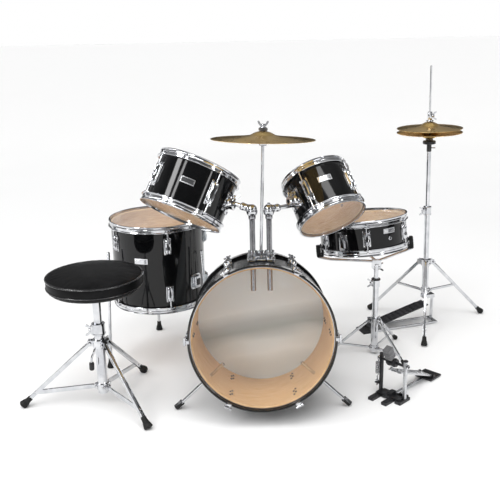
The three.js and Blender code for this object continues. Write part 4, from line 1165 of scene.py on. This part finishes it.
b = B()
wing(b, look((-13.4, 0, 256), (-1, 0, 0), (0, 0, 1)), "chrome", 0.9)
b.box((10, 13, 18), 1.6, "chrome", None, at=(-11.5, 0, 256))
b.lathe([(13.3, 267.2), (14.6, 267.2), (15.0, 268), (15.0, 271), (14.0, 272.2), (8.6, 272.2), (8.6, 267.2)], "black_plastic", 36)
b.build("snare_stand_height_clamp", "sstand", "kit")
b = B()
wing(b, look((8.2, 0, 313), (1, 0, 0), (0, 0.5, 1)), "chrome", 0.9)
b.lathe([(0, 0), (9.5, 0), (10, 1), (10, 4), (9, 5.2), (0, 5.2)], "chrome", 32, look((4.9, 0, 313), (1, 0, 0)))
b.lathe([(0, 0), (9.5, 0), (10, 1), (10, 4), (9, 5.2), (0, 5.2)], "chrome", 32, look((-4.9, 0, 313), (-1, 0, 0)))
for k in range(16):
    a = k * 22.5
    b.box((1.6, 1.2, 3), 0.3, "chrome", look((10.2, 0, 313), (1, 0, 0)) @ Matrix.Rotation(a * D, 4, "Z"), at=(8.6, 0, -1.0))
b.build("snare_stand_tilter", "sstand", "snare_upper")
b = B()
for az in (184, -8, 88):
    T = at_az(az, 155.2, -49)
    b.box((13.5, 19, 42), 3.6, "rubber", T, seg=3)
    b.box((21, 18, 10), 3.2, "rubber", T, at=(-5.5, 0, -14.5), seg=3)
    for z in (-8, 0, 8):
        b.box((14.8, 17, 2.4), 0.9, "rubber", T, at=(0, 0, z))
b.build("snare_basket_grips", "snare", "snare")

b = B()
wing(b, look((-13.4, -2, 435), (-1, -0.15, 0), (0, 0, 1)), "chrome", 0.95)
b.box((12, 15, 24), 1.8, "chrome", None, at=(-11.5, 0, 435))
b.lathe([(13.6, 419), (14.4, 419.6), (14.4, 424), (13.6, 424.6)], "chrome", 40)
b.lathe([(13.6, 446), (14.4, 446.6), (14.4, 450), (13.6, 450.8)], "chrome", 40)
b.build("hihat_height_clamp", "hh", "kit")
b = B()
b.lathe([(4.3, 652), (8.0, 652), (8.4, 653), (8.4, 676), (12, 678.4), (20.5, 679.2), (22.6, 680.4), (22.6, 689.2), (21.6, 690), (4.3, 690)], "black_plastic", 40)
b.lathe([(4.3, 690.1), (12.6, 690.1), (13.2, 691), (13.2, 695.2), (12.4, 696), (4.3, 696)], "felt", 32)
b.cyl((7.5, -3, 665), (17.5, -6, 665), 2.2, "chrome", 14)
b.ball((17.8, -6.1, 665), 3.2, "chrome", 16)
b.build("hihat_seat_cup", "hh", "hihat_upper")
b = B()
b.lathe([(3.2, 753), (8.6, 753), (9.4, 754), (9.4, 757), (8.6, 758), (7.2, 758.6), (7.2, 762), (7.8, 763), (7.8, 790), (7.0, 791.4), (3.2, 791.4)], "chrome", 36)
b.lathe([(3.2, 759.2), (13.0, 759.2), (13.4, 760), (13.0, 761.4), (3.2, 761.4)], "chrome", 32)
b.lathe([(3.2, 741), (12.2, 741), (12.8, 742), (12.8, 746.6), (12.2, 747.6), (3.2, 747.6)], "felt", 32)
b.lathe([(3.2, 747.8), (12.2, 747.8), (12.8, 748.6), (12.8, 752), (12.2, 752.8), (3.2, 752.8)], "felt", 32)
wing(b, look((7.6, 0, 778), (1, -0.15, 0), (0, 0, 1)), "chrome", 0.9)
b.build("hihat_clutch", "hh", "hihat_rod")

b = B()
wing(b, look((-19, -5, 243), (-1, -0.25, 0), (0, 0, 1)), "chrome", 1.1)
b.box((13, 18, 28), 2.0, "chrome", None, at=(-15.5, -3, 243))
b.lathe([(18.8, 226), (20.0, 226.8), (20.0, 231), (18.8, 231.8)], "chrome", 48)
b.lathe([(18.8, 256.5), (20.0, 257.2), (20.0, 261), (18.8, 261.8)], "chrome", 48)
wing(b, look((15, -16, 205), (0.7, -0.72, 0), (0.3, 0.3, 1)), "black_plastic", 1.15)
b.tube([(-12, -19, 188), (-13, -21, 182), (-16, -24, 174), (-20, -27, 166), (-22, -28.5, 156), (-23, -29, 146)], 3.2, "chrome", 14)
b.lathe([(0, 0), (5.5, 0), (7.2, 2), (7.6, 8), (7.6, 20), (6.4, 24), (0, 25)], "black_plastic", 28, look((-23, -29, 124), (0.03, 0.02, 1)))
b.build("throne_clamp_and_bolts", "throne", "throne_base")
b = B()
for sg in (1, -1):
    for a in (0, 90, 180, 270):
        b.lathe([(0, 0), (4.4, 0), (4.2, 1.3), (2.8, 2.2), (0, 2.4)], "chrome", 16, Matrix.Rotation(a * D, 4, "Z") @ look((36, 0, 367), (0, 0, -1)))
b.lathe([(12.4, 341), (17, 341), (18, 343), (15, 366), (12.4, 366)], "chrome", 40)
b.build("throne_post_flange", "throne", "throne_post")


# hi-hat pedal: ridges on the board, link to the rod
hd = Vector((math.cos(197 * D), math.sin(197 * D), 0))
hn = Vector((-hd.y, hd.x, 0))
hinge_p, toe_p = hd * 236 + Vector((0, 0, 13)), hd * 2 + Vector((0, 0, 79))
fd = (toe_p - hinge_p).normalized()
nz = hn.cross(fd) * -1
if nz.z < 0:
    nz = -nz
TB = Matrix(((fd.x, hn.x, nz.x, hinge_p.x), (fd.y, hn.y, nz.y, hinge_p.y), (fd.z, hn.z, nz.z, hinge_p.z), (0, 0, 0, 1)))
b = B()
for k in range(12):
    b.box((5.0, 42, 1.6), 0.6, "diamond", TB, at=(22 + k * 16, 0, 2.5))
for sg in (1, -1):
    b.box((204, 2.6, 3.0), 1.0, "diamond", TB, at=(118, sg * 24.4, 2.8))
b.build("hihat_footboard_ridges", "hhfloor", "hihat_board")
b = B()
for sg in (1, -1):
    b.box((4, 2.6, 20), 1.0, "black_plastic", None, at=(0, sg * 5, 92))
b.cyl((0, -7, 98), (0, 7, 98), 2.4, "chrome", 14)
b.lathe([(0, 90), (4.6, 90), (5.0, 91), (5.0, 104), (4.2, 105), (0, 105)], "chrome", 24)
b.build("hihat_pull_link", "hhfloor", "hihat_rod")

# bass pedal: spring, hook, threaded rod, cam strap, ridges and wing nut
b = B()
sp = []
for i in range(0, 11 * 14 + 1):
    a = i / 14 * 2 * math.pi
    sp.append((-2 + 5.2 * math.cos(a), 56.5 + 5.2 * math.sin(a), 62 + i / 14 * 3.7))
b.tube(sp, 1.25, "wire", 8)
b.tube([(-2, 51.8, 62), (-2, 54, 58), (-2, 56.5, 55), (-2, 56.5, 50)], 1.3, "chrome", 10)
b.cyl((-2, 56.5, 22), (-2, 56.5, 52), 2.3, "chrome", 14)
for k in range(9):
    b.lathe([(2.2, 0), (2.75, 0.7), (2.2, 1.4)], "chrome", 14, Matrix.Translation((-2, 56.5, 24 + k * 2.4)))
b.lathe([(0, 0), (5.2, 0), (5.2, 4), (0, 4)], "chrome", 6, Matrix.Translation((-2, 56.5, 36)))
b.box((16, 15, 4), 1.2, "dark_casting", None, at=(-2, 53, 34))
b.tube([(-2, 51.8, 103), (-2, 54, 107), (-2, 56.5, 112), (-2, 58, 116), (-2, 56, 120)], 1.4, "chrome", 10)
b.lathe([(0, 0), (6.5, 0), (7, 1), (7, 5), (6, 6.4), (0, 6.4)], "chrome", 28, look((0, 48, 116), (0, 1, 0)))
b.lathe([(0, 0), (6.5, 0), (7, 1), (7, 5), (6, 6.4), (0, 6.4)], "chrome", 28, look((0, -48, 116), (0, -1, 0)))
wing(b, look((16, -26, 12.5), (0, 0, 1), (1, 0.2, 0)), "chrome", 0.85)
b.box((24, 30, 5), 1.4, "dark_casting", None, at=(14, -26, 9.5))
for y in (43, -43):
    b.lathe([(0, 0), (7.0, 0), (7.4, 1.2), (6.6, 3.4), (0, 3.6)], "dark_casting", 26, Matrix.Translation((0, y, 131)))
b.build("pedal_spring_and_fittings", "pedal", "kit")
PD = (Vector((8, 0, 84)) - Vector((185, 0, 13))).normalized()
PN = Vector((-PD.z, 0, PD.x))
if PN.z < 0:
    PN = -PN
TP = Matrix(((PD.x, 0, PN.x, 185), (0, 1, 0, 0), (PD.z, 0, PN.z, 13), (0, 0, 0, 1)))
b = B()
for k in range(9):
    b.box((4.4, 34, 1.5), 0.6, "satin", TP, at=(26 + k * 15, 0, 2.5))
for sg in (1, -1):
    b.box((170, 2.4, 2.8), 0.9, "satin", TP, at=(98, sg * 20.6, 2.8))
b.build("pedal_footboard_ridges", "pedal", "pedal_board")
b = B()
b.lathe([(4.2, -12), (13.2, -12), (13.8, -11), (13.8, -7), (12.6, -6), (12.6, 6), (13.8, 7), (13.8, 11), (13.2, 12), (4.2, 12)], "dark_casting", 40, look((0, 4, 116), (0, 1, 0)))
b.tube([(0, 4, 116), (-6, 5, 128), (-12, 5.6, 138), (-16, 6, 146)], 3.6, "chrome", 16)
b.lathe([(0, 0), (10.2, 0), (12.2, 1.6), (12.8, 6), (12.8, 20), (12.0, 25), (9.6, 27), (0, 27.4)], "beater_felt", 40, look((-3.5, 6, 149), (-1, 0, 0.06)))
b.build("pedal_beater_felt", "pedal", "pedal_beater")

# ---------------------------------------------------------------- floor, lights, world
bm = bmesh.new()
bmesh.ops.create_grid(bm, x_segments=1, y_segments=1, size=60)
me = bpy.data.meshes.new("floor")
bm.to_mesh(me)
bm.free()
me.materials.append(MATS["floor"])
fl = bpy.data.objects.new("floor", me)
scene.collection.objects.link(fl)
fl.location = (0, 0, -0.0002)
fl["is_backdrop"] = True


m = Mat("flag", spec=0.0)
m.ramp(m.noise(0.7, 2), [(0.3, (0.010, 0.010, 0.011)), (0.7, (0.035, 0.035, 0.037))])


def flag(name, corners):
    me = bpy.data.meshes.new(name)
    me.from_pydata(corners, [], [[0, 1, 2, 3]])
    me.materials.append(MATS["flag"])
    o = bpy.data.objects.new(name, me)
    scene.collection.objects.link(o)
    o.visible_camera = False
    o.visible_diffuse = False
    o.visible_shadow = False
    o.visible_transmission = False
    o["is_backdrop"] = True


flag("flag_back", [(-1.6, 5.5, 0.12), (6.0, 5.5, 0.12), (6.0, 5.5, 2.1), (-1.6, 5.5, 2.1)])
flag("flag_back_left", [(-7.0, 5.2, 0.12), (-2.1, 5.5, 0.12), (-2.1, 5.5, 2.1), (-7.0, 5.2, 2.1)])
flag("flag_left", [(-5.5, -3.0, 0.1), (-5.5, 1.6, 0.1), (-5.5, 1.6, 2.2), (-5.5, -3.0, 2.2)])
flag("flag_right", [(5.5, -3.0, 0.1), (5.5, 1.8, 0.1), (5.5, 1.8, 2.2), (5.5, -3.0, 2.2)])


def area(name, loc, aim, sx, sy, power, col=(1, 1, 1)):
    d = bpy.data.lights.new(name, "AREA")
    d.shape = "RECTANGLE"
    d.size, d.size_y = sx, sy
    d.energy = power
    d.color = col
    o = bpy.data.objects.new(name, d)
    scene.collection.objects.link(o)
    z = (Vector(loc) - Vector(aim)).normalized()
    o.matrix_world = look(loc, z, (1, 0, 0))
    return o


area("key", (-1.7, -2.7, 2.2), (-0.1, 0, 0.45), 0.34, 2.4, 26)
area("right", (2.3, -2.5, 1.9), (0, 0, 0.4), 0.26, 2.2, 16)
area("left_strip", (-3.4, -0.2, 1.5), (0, 0, 0.4), 0.4, 2.4, 16)
area("tom_strip", (-2.15, -0.93, 2.8), (-0.25, 0, 0.65), 0.5, 2.0, 40).visible_diffuse = False
area("high", (0.2, -1.4, 3.4), (0, 0, 0.3), 1.8, 0.5, 16)
sd = bpy.data.lights.new("soft_sun", "SUN")
sd.energy = 2.55
sd.angle = 70 * D
so = bpy.data.objects.new("soft_sun", sd)
scene.collection.objects.link(so)
so.matrix_world = look((0, 0, 3), (-0.25, -0.45, 1), (1, 0, 0))
so.visible_glossy = False

w = bpy.data.worlds.new("world")
scene.world = w
w.use_nodes = True
nt = w.node_tree
bg = nt.nodes["Background"]
tc = nt.nodes.new("ShaderNodeTexCoord")
sep = nt.nodes.new("ShaderNodeSeparateXYZ")
nt.links.new(tc.outputs["Generated"], sep.inputs[0])


def wramp(src, lo, hi, stops):
    mr = nt.nodes.new("ShaderNodeMapRange")
    mr.inputs["From Min"].default_value = lo
    mr.inputs["From Max"].default_value = hi
    nt.links.new(src, mr.inputs["Value"])
    r = nt.nodes.new("ShaderNodeValToRGB")
    e = r.color_ramp.elements
    while len(e) < len(stops):
        e.new(0.5)
    for el, (p, g) in zip(e, stops):
        el.position = p
        el.color = (g, g, g, 1)
    nt.links.new(mr.outputs["Result"], r.inputs["Fac"])
    return r.outputs["Color"]


back = wramp(sep.outputs["Z"], 0, 1, [(0.10, 1.0), (0.30, 0.34), (0.70, 0.22), (1.0, 0.55)])
front = wramp(sep.outputs["Z"], 0, 1, [(0.0, 0.30), (0.25, 0.10), (0.7, 0.12), (1.0, 0.55)])
side = wramp(sep.outputs["Y"], -0.35, 0.25, [(0.0, 0.0), (1.0, 1.0)])
mx = nt.nodes.new("ShaderNodeMix")
mx.data_type = "RGBA"
nt.links.new(side, mx.inputs[0])
nt.links.new(front, mx.inputs[6])
nt.links.new(back, mx.inputs[7])
nt.links.new(mx.outputs[2], bg.inputs["Color"])
bg.inputs["Strength"].default_value = 1.0
scene.view_settings.view_transform = "Standard"
scene.view_settings.look = "None"

NEW_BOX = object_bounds()
print("CAD box", [list(v) for v in CAD_BOX], "visual box", [list(v) for v in NEW_BOX])
